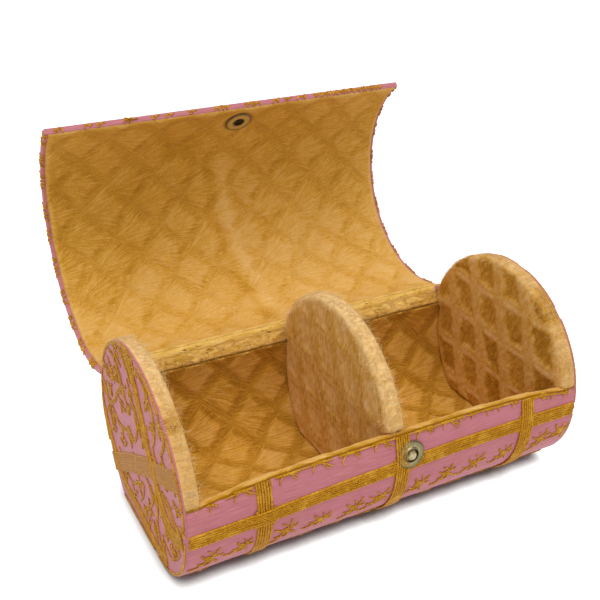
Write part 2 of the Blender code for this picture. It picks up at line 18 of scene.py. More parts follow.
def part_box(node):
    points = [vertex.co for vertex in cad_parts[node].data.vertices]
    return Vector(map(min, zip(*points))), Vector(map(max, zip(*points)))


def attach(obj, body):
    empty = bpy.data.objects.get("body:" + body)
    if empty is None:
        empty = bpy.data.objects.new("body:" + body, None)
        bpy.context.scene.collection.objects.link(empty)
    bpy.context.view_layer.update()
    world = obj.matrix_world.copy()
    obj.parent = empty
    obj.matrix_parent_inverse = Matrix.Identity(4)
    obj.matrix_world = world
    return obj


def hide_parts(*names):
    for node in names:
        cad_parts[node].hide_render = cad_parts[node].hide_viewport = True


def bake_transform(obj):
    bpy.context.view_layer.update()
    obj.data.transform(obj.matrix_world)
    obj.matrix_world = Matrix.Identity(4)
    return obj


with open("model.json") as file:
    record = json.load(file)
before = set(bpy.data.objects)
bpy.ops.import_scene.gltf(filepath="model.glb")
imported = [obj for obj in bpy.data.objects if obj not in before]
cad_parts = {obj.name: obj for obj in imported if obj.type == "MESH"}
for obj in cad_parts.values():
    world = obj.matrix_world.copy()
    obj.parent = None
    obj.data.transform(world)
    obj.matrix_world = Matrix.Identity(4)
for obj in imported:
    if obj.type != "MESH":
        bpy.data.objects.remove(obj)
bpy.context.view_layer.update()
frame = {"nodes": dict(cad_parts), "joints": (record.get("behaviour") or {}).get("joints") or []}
bpy.ops.object.select_all(action="DESELECT")

# %% [markdown]
# ## Sizes
#
# The outer section of the box is a circle that stands on a flat foot. Its radius, the height of its
# middle and the length of the box are read from the end cover's box, so the cloth always fits the card
# under it. In front the circle runs into the foot in a wide arc, behind in a tight one. Cloth and card
# thicknesses are the real ones.

# %% The section of the trough
end_low, end_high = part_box("left_end_cover")
END_X = -end_low.x
SECTION_R = (end_high.y - end_low.y) / 2
RISE = end_high.z - SECTION_R
FRONT_FOOT_R = 0.9 * RISE
BACK_FOOT_R = 0.008
SATIN_T = 0.0006
LINING_DEPTH = 0.0049
PAD_FACE_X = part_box("left_end_pad")[1].x
PAD_X = abs(PAD_FACE_X)
SEAM_X = END_X - SATIN_T
BACK_TOP_Z = RISE + 0.0097
FRONT_END_Z = RISE + 0.0102
FRONT_BOW = 0.0038
SATIN_BELOW = 0.0012
MM = 0.001
print("length", round(2 * END_X, 4), "section radius", round(SECTION_R, 4), "middle height", round(RISE, 4))

# %% [markdown]
# A *rail* is the section line that a sheet of cloth is glued along. It turns a place on the flat cloth,
# `x` along the box and `s` round the section, into a point on the box, at a height above the cloth.
# Everything that is glued or sewn on the box is placed through a rail, so bands follow the curve.

# %% Section lines
def arc(centre, radius, start, end, step=0.0005):
    """Points (y, z) along an arc. Angles run from +Y towards +Z."""
    count = max(2, int(abs(end - start) * radius / step) + 1)
    angle = np.linspace(start, end, count)
    return np.stack([centre[0] + radius * np.cos(angle), centre[1] + radius * np.sin(angle)], -1)


def foot(radius):
    """How far from the middle a foot's arc is centred, and how far below level it starts."""
    away = math.sqrt((SECTION_R - radius) ** 2 - (RISE - radius) ** 2)
    return away, math.atan2(RISE - radius, away)


def trough_line(depth, front, back):
    """The trough's section at a depth below its outside, from the front edge, underneath, to the back."""
    front_y, front_foot = foot(FRONT_FOOT_R)
    back_y, back_foot = foot(BACK_FOOT_R)
    under = 1.5 * math.pi
    radius = SECTION_R - depth
    flat = np.stack([np.linspace(-front_y, back_y, 90), np.full(90, depth)], -1)
    runs = [
        arc((0, RISE), radius, front, math.pi + front_foot),
        arc((-front_y, FRONT_FOOT_R), FRONT_FOOT_R - depth, math.pi + front_foot, under)[1:],
        flat[1:],
        arc((back_y, BACK_FOOT_R), BACK_FOOT_R - depth, under, 2 * math.pi - back_foot)[1:],
        arc((0, RISE), radius, -back_foot, back)[1:],
    ]
    return np.concatenate(runs)


class Rail:
    """A section line with its outward side, measured along its length from a chosen point."""

    def __init__(self, points, zero, outward):
        steps = np.linalg.norm(np.diff(points, axis=0), axis=1)
        along = np.concatenate([[0], np.cumsum(steps)])
        nearest = np.argmin(np.linalg.norm(points - np.array(zero), axis=1))
        self.at = along - along[nearest]
        self.points = points
        tangent = np.gradient(points, self.at, axis=0)
        tangent /= np.linalg.norm(tangent, axis=1, keepdims=True)
        self.out = np.stack([tangent[:, 1], -tangent[:, 0]], -1) * outward

    def place(self, x, s, height=0.0):
        """Points at x along the box, s along the section and a height above the line."""
        y, z, out_y, out_z = (
            np.interp(s, self.at, column) for column in (*self.points.T, *self.out.T)
        )
        return np.stack([x + 0 * y, y + out_y * height, z + out_z * height], -1)


def front_top(x):
    """Distance of the front wall's bowed top edge above the section's middle, along the satin."""
    share = np.minimum(np.abs(x) / PAD_X, 1)
    height = FRONT_END_Z + FRONT_BOW * (1 - share**4)
    return SECTION_R * np.arcsin((height - RISE) / SECTION_R)


back_angle = math.asin((BACK_TOP_Z - RISE) / SECTION_R)
outside = Rail(trough_line(0, math.radians(150), back_angle), (-SECTION_R, RISE), 1)
inside_back = math.asin((BACK_TOP_Z - RISE) / (SECTION_R - LINING_DEPTH))
inside = Rail(
    trough_line(LINING_DEPTH, math.radians(150), inside_back), (-SECTION_R + LINING_DEPTH, RISE), -1
)
print("satin round the trough", round(outside.at[-1] * 1000), "mm below the middle of the front")

# %% [markdown]
# The lid is two arcs, one about the trough's own middle and a slightly larger one in front that leaves
# room for the press stud. The frame stores it open, so its arcs are worked out closed and then turned
# back about the hinge.

# %% The lid's section
LID_T = 0.0036
LID_CLEARANCE = 0.0008
LID_SNAP_ROOM = 0.0018
LID_BACK, LID_BLEND, LID_FREE = (math.radians(angle) for angle in (19.3, 75, 188))
hinge = next(joint for joint in frame["joints"] if joint["name"] == "lid_hinge")
HINGE_Y, HINGE_Z = hinge["pos_m"][1:]
OPEN = -math.radians(hinge["range_deg"][1])


def opened(points):
    """Closed section points turned open about the hinge."""
    y, z = points[:, 0] - HINGE_Y, points[:, 1] - HINGE_Z
    turned_y = HINGE_Y + y * math.cos(OPEN) - z * math.sin(OPEN)
    turned_z = HINGE_Z + y * math.sin(OPEN) + z * math.cos(OPEN)
    return np.stack([turned_y, turned_z], -1)


def lid_line(thickness):
    """The lid's opened section at a thickness outside its inner face, from the free edge to the hinge."""
    back_r = SECTION_R + LID_CLEARANCE + thickness
    front_centre = (-LID_SNAP_ROOM * math.cos(LID_BLEND), RISE - LID_SNAP_ROOM * math.sin(LID_BLEND))
    front = arc(front_centre, back_r + LID_SNAP_ROOM, LID_FREE, LID_BLEND)
    back = arc((0, RISE), back_r, LID_BLEND, LID_BACK)
    return opened(np.concatenate([front, back[1:]]))


lid_outer_line, lid_inner_line = lid_line(LID_T), lid_line(0)
lid_outside = Rail(lid_outer_line, lid_outer_line[0], -1)
lid_inside = Rail(lid_inner_line, lid_inner_line[0], 1)
LID_GIRTH = lid_outside.at[-1]
LID_INNER_GIRTH = lid_inside.at[-1]
print("lid girth", round(LID_GIRTH * 1000, 1), "mm outside,", round(LID_INNER_GIRTH * 1000, 1), "mm inside")

# %% [markdown]
# ## Small helpers
#
# A sheet starts as Blender's grid primitive. Its points are then laid along a rail, row by row, the way
# cloth is smoothed onto glue. Each sheet also keeps its own place on the flat cloth in an attribute
# called `cloth`, in metres, which the materials read: the weave then follows the cloth round every
# bend, and it turns with the lid.

# %% Grids, noise and finishing
def select_only(obj):
    """Makes one object the selected and active one."""
    bpy.ops.object.select_all(action="DESELECT")
    obj.select_set(True)
    bpy.context.view_layer.objects.active = obj


def grid(name, columns, rows):
    """A grid primitive, with the shares 0 to 1 of each of its points across and up."""
    bpy.ops.mesh.primitive_grid_add(x_subdivisions=columns, y_subdivisions=rows, size=2)
    obj = bpy.context.object
    obj.name = obj.data.name = name
    flat = np.empty(len(obj.data.vertices) * 3)
    obj.data.vertices.foreach_get("co", flat)
    share = (flat.reshape(-1, 3)[:, :2] + 1) / 2
    return obj, share[:, 0], share[:, 1]


def set_points(obj, points):
    """Moves all the points of a mesh."""
    obj.data.vertices.foreach_set("co", np.ascontiguousarray(points, dtype=np.float32).ravel())
    obj.data.update()


def keep(obj, name, values):
    """Stores a vector for each point, for the material to read."""
    attribute = obj.data.attributes.new(name, "FLOAT_VECTOR", "POINT")
    attribute.data.foreach_set("vector", np.ascontiguousarray(values, dtype=np.float32).ravel())


def ripple(points, scale, seed=0.0):
    """Soft noise from -1 to 1 at each point. The scale is the size of a bump in metres."""
    return np.array([noise.noise(Vector(point) / scale + Vector((seed, seed, seed))) for point in points])


def bump(values, middle, width):
    """A soft bump of height 1."""
    return np.exp(-(((values - middle) / width) ** 2))


def apply_all(obj):
    """Applies every modifier in turn."""
    select_only(obj)
    for modifier in list(obj.modifiers):
        bpy.ops.object.modifier_apply(modifier=modifier.name)


def thicken(obj, thickness, towards=-1):
    """Gives a sheet its thickness, below its face or above it."""
    solidify = obj.modifiers.new("thickness", "SOLIDIFY")
    solidify.thickness = thickness
    solidify.offset = towards
    apply_all(obj)


def close_seams(obj, outward=True):
    """Merges the points that meet at seams, poles and caps, and turns the faces outwards."""
    select_only(obj)
    bpy.ops.object.mode_set(mode="EDIT")
    bpy.ops.mesh.select_all(action="SELECT")
    bpy.ops.mesh.remove_doubles(threshold=0.00002)
    bpy.ops.mesh.dissolve_degenerate(threshold=0.00001)
    if outward:
        bpy.ops.mesh.normals_make_consistent(inside=False)
    bpy.ops.object.mode_set(mode="OBJECT")


def dress(obj, material, body=None):
    """Gives a piece its material, smooth shading and the body that it rides on."""
    obj.data.materials.clear()
    obj.data.materials.append(material)
    select_only(obj)
    bpy.ops.object.shade_smooth()
    if body:
        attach(obj, body)
    print(obj.name, len(obj.data.polygons), "faces")


# %% [markdown]
# Materials are built from nodes by a tiny helper: it adds a node, sets what is plain and links what is
# not. A number that is the same all over is always set on the shader's own socket.

# %% Node helper
class Recipe:
    """A new material and a short way to add nodes to it."""

    def __init__(self, name, **settings):
        self.material = bpy.data.materials.new(name)
        self.material.use_nodes = True
        self.tree = self.material.node_tree
        self.shader = self.tree.nodes["Principled BSDF"]
        for socket, value in settings.items():
            self.shader.inputs[socket.replace("_", " ")].default_value = value

    def add(self, kind, *inputs, **settings):
        """A node, with its inputs in order: a number, a colour or another node's output."""
        made = self.tree.nodes.new("ShaderNode" + kind)
        for key, value in settings.items():
            setattr(made, key, value)
        for socket, value in zip(made.inputs, inputs):
            self.put(socket, value)
        return made

    def put(self, socket, value):
        """Links an output to a socket, or sets its value."""
        if isinstance(value, bpy.types.NodeSocket):
            self.tree.links.new(value, socket)
        elif value is not None:
            socket.default_value = value

    def attribute(self, name):
        """A stored vector of the mesh."""
        return self.add("Attribute", attribute_name=name).outputs["Vector"]

    def place(self):
        """The place on the piece itself, in metres."""
        return self.add("TexCoord").outputs["Object"]

    def maths(self, operation, *inputs):
        """A Math node's result."""
        return self.add("Math", *inputs, operation=operation).outputs[0]

    def vector(self, operation, *inputs):
        """A Vector Math node's result."""
        return self.add("VectorMath", *inputs, operation=operation).outputs[0]

    def along(self, vector, direction):
        """How far a vector reaches in a direction."""
        return self.add("VectorMath", vector, direction, operation="DOT_PRODUCT").outputs["Value"]

    def total(self, start, *parts):
        """A number plus parts, each a value and its weight."""
        for value, weight in parts:
            start = self.maths("MULTIPLY_ADD", value, weight, start)
        return start

    def speckle(self, place, scale, detail=2.0, roughness=0.5, swirl=0.0):
        """Noise from 0 to 1. Three scales, one for each direction, stretch it."""
        if isinstance(scale, tuple):
            place, scale = self.vector("MULTIPLY", place, scale), 1.0
        made = self.add("TexNoise", noise_dimensions="3D")
        values = (("Vector", place), ("Scale", scale), ("Detail", detail), ("Roughness", roughness))
        for name, value in (*values, ("Distortion", swirl)):
            self.put(made.inputs[name], value)
        return made.outputs["Fac"]

    def span(self, value, low, high, to_low=0.0, to_high=1.0):
        """Maps one range of values to another, held at its ends."""
        made = self.add("MapRange")
        names = ("Value", "From Min", "From Max", "To Min", "To Max")
        for name, number in zip(names, (value, low, high, to_low, to_high)):
            self.put(made.inputs[name], number)
        return made.outputs["Result"]

    def rings(self, centre, axis, reach, stops):
        """Colours by distance from an axis, as on turned metal. A stop is a share of reach and a colour."""
        spoke = self.vector("SUBTRACT", self.place(), tuple(centre))
        across = self.vector("CROSS_PRODUCT", spoke, tuple(axis))
        radius = self.add("VectorMath", across, operation="LENGTH").outputs["Value"]
        made = self.add("ValToRGB", self.maths("DIVIDE", radius, reach))
        ramp = made.color_ramp.elements
        for index, (place, colour) in enumerate(stops):
            element = ramp[index] if index < 2 else ramp.new(place)
            element.position = place
            element.color = (*colour, 1)
        return made.outputs["Color"]

    def blend(self, share, first, second, kind="MIX"):
        """Mixes two colours."""
        made = self.add("Mix", data_type="RGBA", blend_type=kind)
        colours = [socket for socket in made.inputs if socket.type == "RGBA"]
        self.put(made.inputs[0], share)
        self.put(colours[0], first)
        self.put(colours[1], second)
        return next(socket for socket in made.outputs if socket.type == "RGBA")

    def relief(self, height, strength, distance, under=None):
        """A bump, on top of another one where it is given."""
        made = self.add("Bump")
        self.put(made.inputs["Strength"], strength)
        self.put(made.inputs["Distance"], distance)
        self.put(made.inputs["Height"], height)
        if under is not None:
            self.put(made.inputs["Normal"], under)
        return made.outputs["Normal"]

    def finish(self, colour=None, normal=None, roughness=None):
        """Joins the last nodes to the shader."""
        for name, value in (("Base Color", colour), ("Normal", normal), ("Roughness", roughness)):
            if value is not None:
                self.put(self.shader.inputs[name], value)
        return self.material


# %% [markdown]
# ### Satin
#
# Pink satin shows fine threads that run along the box, with a soft gloss and small changes of tone
# where single threads are thicker. Noise that is stretched a hundred times along the thread gives
# both, once for the colour and once for the bump.

# %% Satin
SATIN_DARK, SATIN_PALE, SATIN_PATCH = (0.43, 0.130, 0.150, 1), (0.66, 0.262, 0.268, 1), (0.58, 0.20, 0.27, 1)


def make_satin():
    recipe = Recipe("pink_satin", Roughness=0.45, Specular_IOR_Level=0.06)
    cloth = recipe.attribute("cloth")
    threads = recipe.speckle(cloth, (90, 3200, 1), 3.0, 0.6)
    crossing = recipe.speckle(cloth, (2600, 500, 1), 2.0)
    patches = recipe.speckle(cloth, 60.0, 3.0)
    colour = recipe.blend(recipe.span(threads, 0.3, 0.7), SATIN_DARK, SATIN_PALE)
    colour = recipe.blend(recipe.span(patches, 0.35, 0.7, 0.0, 0.4), colour, SATIN_PATCH)
    normal = recipe.relief(threads, 0.5, 0.00012)
    normal = recipe.relief(crossing, 0.25, 0.00008, normal)
    return recipe.finish(colour, normal, recipe.span(threads, 0.2, 0.8, 0.5, 0.36))


satin = make_satin()
print("material", satin.name)

# %% [markdown]
# ### Pressed velvet
#
# The lining is a tan velvet whose pile was pressed into a pattern before it was cut. The cloth in the
# trough and the lid shows pale kites with darker bands between them. Inside a kite the pile fans out
# from a point near its left corner, so the strokes are noise in polar places about that point. Each
# kite also gets a painted highlight along its upper left edge and painted shade along its lower right
# one. The piece on the discs shows squares in leaning rows, brushed one way, with a band of its own
# tone along one side. Both are one recipe, which works out where a point lies in its cell and shades
# by that. Level lines of a swirled noise are its curled pale hairs. The sheet's third `cloth` value
# says how far its pile stands up, as on a rim, where velvet looks paler and shows no pattern; it also
# carries painted light and shade: paler tops of the rims, shade under the trough's front roll and a
# darker top to the lid.

# %% Velvet
KITE_PITCH = (0.0255, 0.0280)
SQUARE_PITCH = (0.0200, 0.0200)
SQUARE_LEAN = 0.27
SQUARE_START = (0.10, 0.30)
KITE_WAYS = ((1 / KITE_PITCH[0], 1 / KITE_PITCH[1], 0), (1 / KITE_PITCH[0], -1 / KITE_PITCH[1], 0))
SQUARE_WAYS = ((1 / SQUARE_PITCH[0], -SQUARE_LEAN / SQUARE_PITCH[0], 0), (0, 1 / SQUARE_PITCH[1], 0))
CELL_SHARE = 0.35
SQUARE_NARROW = 1.25
FAN_START = (-0.70 * KITE_PITCH[0], 0.06 * KITE_PITCH[1])
FAN_STROKES = 36.0
FAN_LENGTH = 110.0
FINER_HAIRS = 1.9
TUFT_TONE, WORN_TONE, HAIR_TONE, CURL_TONE, PILE_AND_LIGHT_TONE = 0.6, 0.35, 0.15, 0.12, 0.55
PILE_DARK, PILE_TAN, PILE_PALE = (0.34, 0.145, 0.004, 1), (0.66, 0.335, 0.042, 1), (0.90, 0.61, 0.27, 1)
PILE_SHEEN = dict(
    Sheen_Weight=0.12, Sheen_Roughness=0.5, Sheen_Tint=(1.0, 0.80, 0.45, 1), Specular_IOR_Level=0.06
)


def make_velvet(name, squares, base, cell_tone, edge_band_and_painted_light, stroke_tone, brushed=None):
    """Pressed velvet, with the tone of its ground and what cells, their edges and strokes add to it. On kites
    the edges are a painted highlight and painted shade.

    brushed is the number of strokes in a metre, along two directions of the cloth.
    """
    recipe = Recipe(name, Roughness=0.9, **PILE_SHEEN)
    cloth = recipe.attribute("cloth")
    place = recipe.place()
    # The third cloth value: how far the pile stands up, together with the painted light and shade that each
    # sheet stores.
    pile_and_painted_light = recipe.add("SeparateXYZ", cloth).outputs["Z"]
    tufts = recipe.speckle(place, 800.0, 4.0, 0.68, 1.2)
    wholes = [recipe.along(cloth, way) for way in (SQUARE_WAYS if squares else KITE_WAYS)]
    if squares:
        wholes = [recipe.maths("ADD", value, start) for value, start in zip(wholes, SQUARE_START)]
    first, second = [recipe.maths("SUBTRACT", recipe.maths("FRACT", value), 0.5) for value in wholes]
    corner = recipe.add("CombineXYZ", *[recipe.maths("FLOOR", value) for value in wholes])
    chance = recipe.add("TexWhiteNoise", corner.outputs[0], noise_dimensions="3D").outputs["Value"]
    own = recipe.maths("MULTIPLY", chance, 37.0)
    far_first, far_second = recipe.maths("ABSOLUTE", first), recipe.maths("ABSOLUTE", second)
    if squares:
        far_first = recipe.maths("MULTIPLY", far_first, SQUARE_NARROW)
    distance = recipe.maths("MAXIMUM", far_first, far_second)
    drift = recipe.speckle(place, 130.0, 2.0)
    bend = 0.50 if squares else 0.20
    ragged = recipe.total(-0.5 * (0.12 + bend), (distance, 1.0), (tufts, 0.12), (drift, bend))
    soft = 0.08 if squares else 0.05
    cell = recipe.span(ragged, CELL_SHARE + soft, CELL_SHARE - soft)
    if squares:
        across, up = [recipe.along(cloth, way) for way in brushed]
        spread = recipe.add("CombineXYZ", across, up, own).outputs[0]
        edge = recipe.maths(
            "MULTIPLY", recipe.span(second, 0.30, 0.40), recipe.span(far_first, 0.45, 0.30)
        )
    else:
        lean = recipe.span(chance, 0.0, 1.0, -0.25 * KITE_PITCH[1], 0.25 * KITE_PITCH[1])
        right = recipe.total(-FAN_START[0], (first, KITE_PITCH[0] / 2), (second, KITE_PITCH[0] / 2))
        down = recipe.total(-FAN_START[1], (first, KITE_PITCH[1] / 2), (second, -KITE_PITCH[1] / 2))
        down = recipe.maths("ADD", down, lean)
        turn = recipe.maths("ARCTAN2", down, right)
        spoke = recipe.add("CombineXYZ", right, down).outputs[0]
        length = recipe.add("VectorMath", spoke, operation="LENGTH").outputs["Value"]
        stroke_turn = recipe.maths("MULTIPLY", turn, FAN_STROKES)
        stroke_length = recipe.maths("MULTIPLY", length, FAN_LENGTH)
        spread = recipe.add("CombineXYZ", stroke_turn, stroke_length, own).outputs[0]
        # Painted light on the kites: a highlight along each upper left edge and shade along each lower right
        # edge.
        lit = recipe.maths("MULTIPLY", recipe.span(first, -0.27, -0.36), recipe.span(first, -0.46, -0.38))
        shade = recipe.maths("MULTIPLY", recipe.span(first, 0.30, 0.38), recipe.span(first, 0.50, 0.42))
        edge = recipe.maths("SUBTRACT", lit, recipe.maths("MULTIPLY", shade, 0.7))
        edge = recipe.maths("MULTIPLY", edge, recipe.span(far_second, 0.45, 0.15))
        edge = recipe.maths("MULTIPLY", edge, recipe.span(drift, 0.38, 0.60))
    strokes = recipe.speckle(spread, 1.0, 3.0, 0.62, 0.3)
    sharp = recipe.span(strokes, 0.38, 0.64)
    finer = recipe.vector("SCALE", spread, None, None, FINER_HAIRS)
    single = recipe.span(recipe.speckle(finer, 1.0, 1.0), 0.62, 0.70)
    level = recipe.speckle(place, 230.0, 2.0, 0.5, 2.8)
    curls = recipe.maths("MULTIPLY", recipe.span(level, 0.485, 0.5), recipe.span(level, 0.515, 0.5))
    worn = recipe.speckle(place, 38.0, 3.0)
    flat = recipe.span(pile_and_painted_light, 0.30, 0.65, 1.0, 0.0)
    cell, edge, curls = [recipe.maths("MULTIPLY", value, flat) for value in (cell, edge, curls)]
    cell = recipe.maths("MULTIPLY", cell, recipe.span(chance, 0.0, 1.0, 0.5, 1.0))
    tone = recipe.total(
        base - 0.5 * (stroke_tone + WORN_TONE + TUFT_TONE),
        (cell, cell_tone), (edge, edge_band_and_painted_light), (sharp, stroke_tone), (single, HAIR_TONE),
        (worn, WORN_TONE), (tufts, TUFT_TONE), (curls, CURL_TONE), (pile_and_painted_light, PILE_AND_LIGHT_TONE),
    )
    colour = recipe.blend(recipe.span(tone, 0.0, 0.5), PILE_DARK, PILE_TAN)
    colour = recipe.blend(recipe.span(tone, 0.45, 1.15), colour, PILE_PALE)
    normal = recipe.relief(strokes, 0.5, 0.0005)
    normal = recipe.relief(tufts, 0.5, 0.0004, normal)
    normal = recipe.relief(recipe.speckle(place, 3200.0, 2.0), 0.35, 0.00012, normal)
    return recipe.finish(colour, normal)


trough_kites = make_velvet("trough_velvet", False, 0.25, 0.30, 0.12, 0.36)
lid_kites = make_velvet("lid_velvet", False, 0.42, 0.11, 0.14, 0.24)
slanting, hanging = ((520, 330, 0), (-120, 200, 0)), ((850, 40, 0), (10, 210, 0))
pad_squares = make_velvet("pad_velvet", True, 0.64, -0.52, 0.26, 0.30, slanting)
divider_squares = make_velvet("divider_velvet", True, 0.56, 0.32, 0.08, 0.46, hanging)
print("materials", trough_kites.name, lid_kites.name, pad_squares.name, divider_squares.name)

# %% [markdown]
# ### Gold thread
#
# The thread is a cotton core wrapped in gilt strip. Its colour follows the bump of its strands: dark in
# the hollows between them as painted shade, and bright on their tops. The gilt is worn in places. The
# flat tan threads that cross the ends are plain silk, and the loose hairs of the velvet are a pale tan
# of their own.

# %% Gold thread, strip cloth and hair
def make_gold(name, metallic, dark, light, worn_light):
    recipe = Recipe(name, Metallic=metallic, Roughness=0.5, Specular_IOR_Level=0.08)
    place = recipe.place()
    strand_bumps_and_painted_shade = recipe.speckle(place, 2200.0, 2.0)
    worn = recipe.speckle(place, 240.0, 3.0)
    # The colour follows the strands' bump: darker in its hollows as painted shade, paler on its tops.
    colour = recipe.blend(recipe.span(strand_bumps_and_painted_shade, 0.3, 0.7), dark, light)
    colour = recipe.blend(recipe.span(worn, 0.5, 0.8, 0.0, 0.5), colour, worn_light)
    return recipe.finish(colour, recipe.relief(strand_bumps_and_painted_shade, 0.5, 0.00015))


def make_strip_cloth():
    recipe = Recipe("strip_cloth", Roughness=0.95, **PILE_SHEEN)
    cloth = recipe.attribute("cloth")
    place = recipe.place()
    fibres = recipe.speckle(place, (260, 1400, 1400), 4.0, 0.7, 0.8)
    clumps = recipe.speckle(place, (110, 260, 260), 3.0, 0.6)
    flecks = recipe.speckle(place, (300, 900, 900), 1.0)
    up = recipe.add("SeparateXYZ", cloth).outputs["Y"]
    wander = recipe.maths("MULTIPLY_ADD", clumps, 0.0020, recipe.maths("SUBTRACT", up, 0.0010))
    # Painted shade: a dark line at the strip's foot, the shadow under its lower edge, and a fainter one
    # across the hinge cloth, the shade of a crease.
    painted_shadow_at_foot = recipe.span(wander, 0.0016, 0.0004)
    over, under = recipe.span(wander, 0.0146, 0.0150), recipe.span(wander, 0.0157, 0.0153)
    painted_crease_shade = recipe.maths("MULTIPLY", over, under)
    seams = recipe.maths("MAXIMUM", painted_shadow_at_foot, recipe.maths("MULTIPLY", painted_crease_shade, 0.6))
    colour = recipe.blend(recipe.span(clumps, 0.3, 0.7), (0.70, 0.37, 0.025, 1), (0.98, 0.62, 0.16, 1))
    colour = recipe.blend(recipe.span(fibres, 0.45, 0.75, 0.0, 0.8), colour, (0.96, 0.70, 0.32, 1))
    colour = recipe.blend(recipe.span(fibres, 0.47, 0.3, 0.0, 0.5), colour, (0.34, 0.16, 0.006, 1))
    colour = recipe.blend(recipe.span(flecks, 0.66, 0.73, 0.0, 0.8), colour, (0.20, 0.09, 0.01, 1))
    colour = recipe.blend(recipe.maths("MULTIPLY", seams, 0.7), colour, (0.22, 0.10, 0.006, 1))
    return recipe.finish(colour, recipe.relief(fibres, 0.8, 0.0008))


def make_hair(name, dark, light):
    recipe = Recipe(name, Roughness=0.9, Specular_IOR_Level=0.05)
    tint = recipe.span(recipe.speckle(recipe.place(), 200.0), 0.3, 0.7)
    return recipe.finish(recipe.blend(tint, dark, light))


gold = make_gold("gold_thread", 0.2, (0.25, 0.09, 0.002, 1), (0.74, 0.36, 0.018, 1), (0.95, 0.58, 0.08, 1))
tan_silk = make_gold("tan_silk", 0.05, (0.36, 0.15, 0.018, 1), (0.60, 0.27, 0.05, 1), (0.66, 0.34, 0.09, 1))
rough_cloth = make_strip_cloth()
hair = make_hair("velvet_hair", (0.52, 0.27, 0.03, 1), (0.80, 0.50, 0.16, 1))
rim_hair = make_hair("rim_hair", (0.78, 0.52, 0.22, 1), (0.90, 0.68, 0.36, 1))
print("materials", gold.name, tan_silk.name, rough_cloth.name, hair.name, rim_hair.name)

# %% [markdown]
# ### Card and metal
#
# The boards are plain pressed fibre, hidden under the cloth. The press stud is antique brass, greenish
# brown in its hollows and rubbed bright on its raised rings. Its ring tones also paint light on it:
# near black painted shade in the recess round the knob and at the outer rim, and painted highlights on
# the rubbed knob and bead. It was turned, so its tones are rings too: they go by the distance from its
# axis, which is worked out from the piece's own box. The socket's flange is painted dark at its hole
# and its outer rim as shade, and the inside of the cap, which shows as the socket's hole, is painted
# near black as shade.

# %% Board, brass and wire
def make_board(name, dark, light):
    recipe = Recipe(name, Roughness=0.85)
    fibres = recipe.speckle(recipe.place(), (900, 2600, 2600), 4.0)
    return recipe.finish(recipe.blend(fibres, dark, light), recipe.relief(fibres, 0.3, 0.0002))


def make_brass(name, metallic, centre, axis, reach, stops, stained=0.6, shaded_above=None):
    """Turned brass. The last argument is a height on the axis past which painted shade makes it near black,
    as inside a hole.
    """
    recipe = Recipe(name, Metallic=metallic, Roughness=0.34)
    place = recipe.place()
    stain = recipe.speckle(place, 900.0, 4.0, 0.65)
    scuffs = recipe.speckle(place, 4000.0, 2.0)
    colour = recipe.rings(centre, axis, reach, stops)
    colour = recipe.blend(recipe.span(stain, 0.35, 0.7, stained, 0.0), colour, (0.12, 0.09, 0.035, 1))
    if shaded_above is not None:
        height = recipe.along(recipe.vector("SUBTRACT", place, tuple(centre)), tuple(axis))
        # Painted shade: near black inside the hole.
        hole_shade = recipe.span(height, shaded_above, shaded_above + 0.0002)
        colour = recipe.blend(hole_shade, colour, (0.006, 0.005, 0.003, 1))
    gloss = recipe.span(stain, 0.3, 0.7, 0.48, 0.26)
    return recipe.finish(colour, recipe.relief(scuffs, 0.25, 0.00006), gloss)


def make_wire():
    recipe = Recipe("spring_wire", Metallic=1.0, Roughness=0.4)
    drawn = recipe.speckle(recipe.place(), (300, 5000, 5000))
    # The wire is dark: aged metal, and painted shade, as it lies in the socket's hole.
    return recipe.finish(recipe.blend(drawn, (0.05, 0.045, 0.035, 1), (0.12, 0.11, 0.08, 1)))


hardboard = make_board("hardboard", (0.20, 0.13, 0.07, 1), (0.36, 0.25, 0.15, 1))
cardboard = make_board("cardboard", (0.42, 0.34, 0.24, 1), (0.58, 0.48, 0.35, 1))
wire = make_wire()


def middle(node_name):
    """The middle of a node's box."""
    low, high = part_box(node_name)
    return (Vector(low) + Vector(high)) / 2


stud_out = middle("snap_stud") - Vector((middle("snap_stud").x, 0, RISE))
STUD_R, SOCKET_R = 0.0066, 0.0071
# Ring tones: rubbed brass and patina, with near black painted shade in the recess round the knob and at the
# outer rim, and painted highlights on the knob and the bead.
STUD_RINGS_WITH_PAINTED_LIGHT = (
    (0.0, (0.62, 0.55, 0.34)), (0.26, (0.50, 0.43, 0.24)), (0.34, (0.07, 0.05, 0.02)),
    (0.50, (0.13, 0.10, 0.045)), (0.60, (0.55, 0.49, 0.30)), (0.68, (0.28, 0.24, 0.12)),
    (0.86, (0.24, 0.21, 0.11)), (1.0, (0.08, 0.065, 0.03)),
)
stud_brass = make_brass("stud_brass", 1.0, middle("snap_stud"), stud_out.normalized(), STUD_R, STUD_RINGS_WITH_PAINTED_LIGHT)
socket_out = middle("snap_socket") - middle("snap_cap")
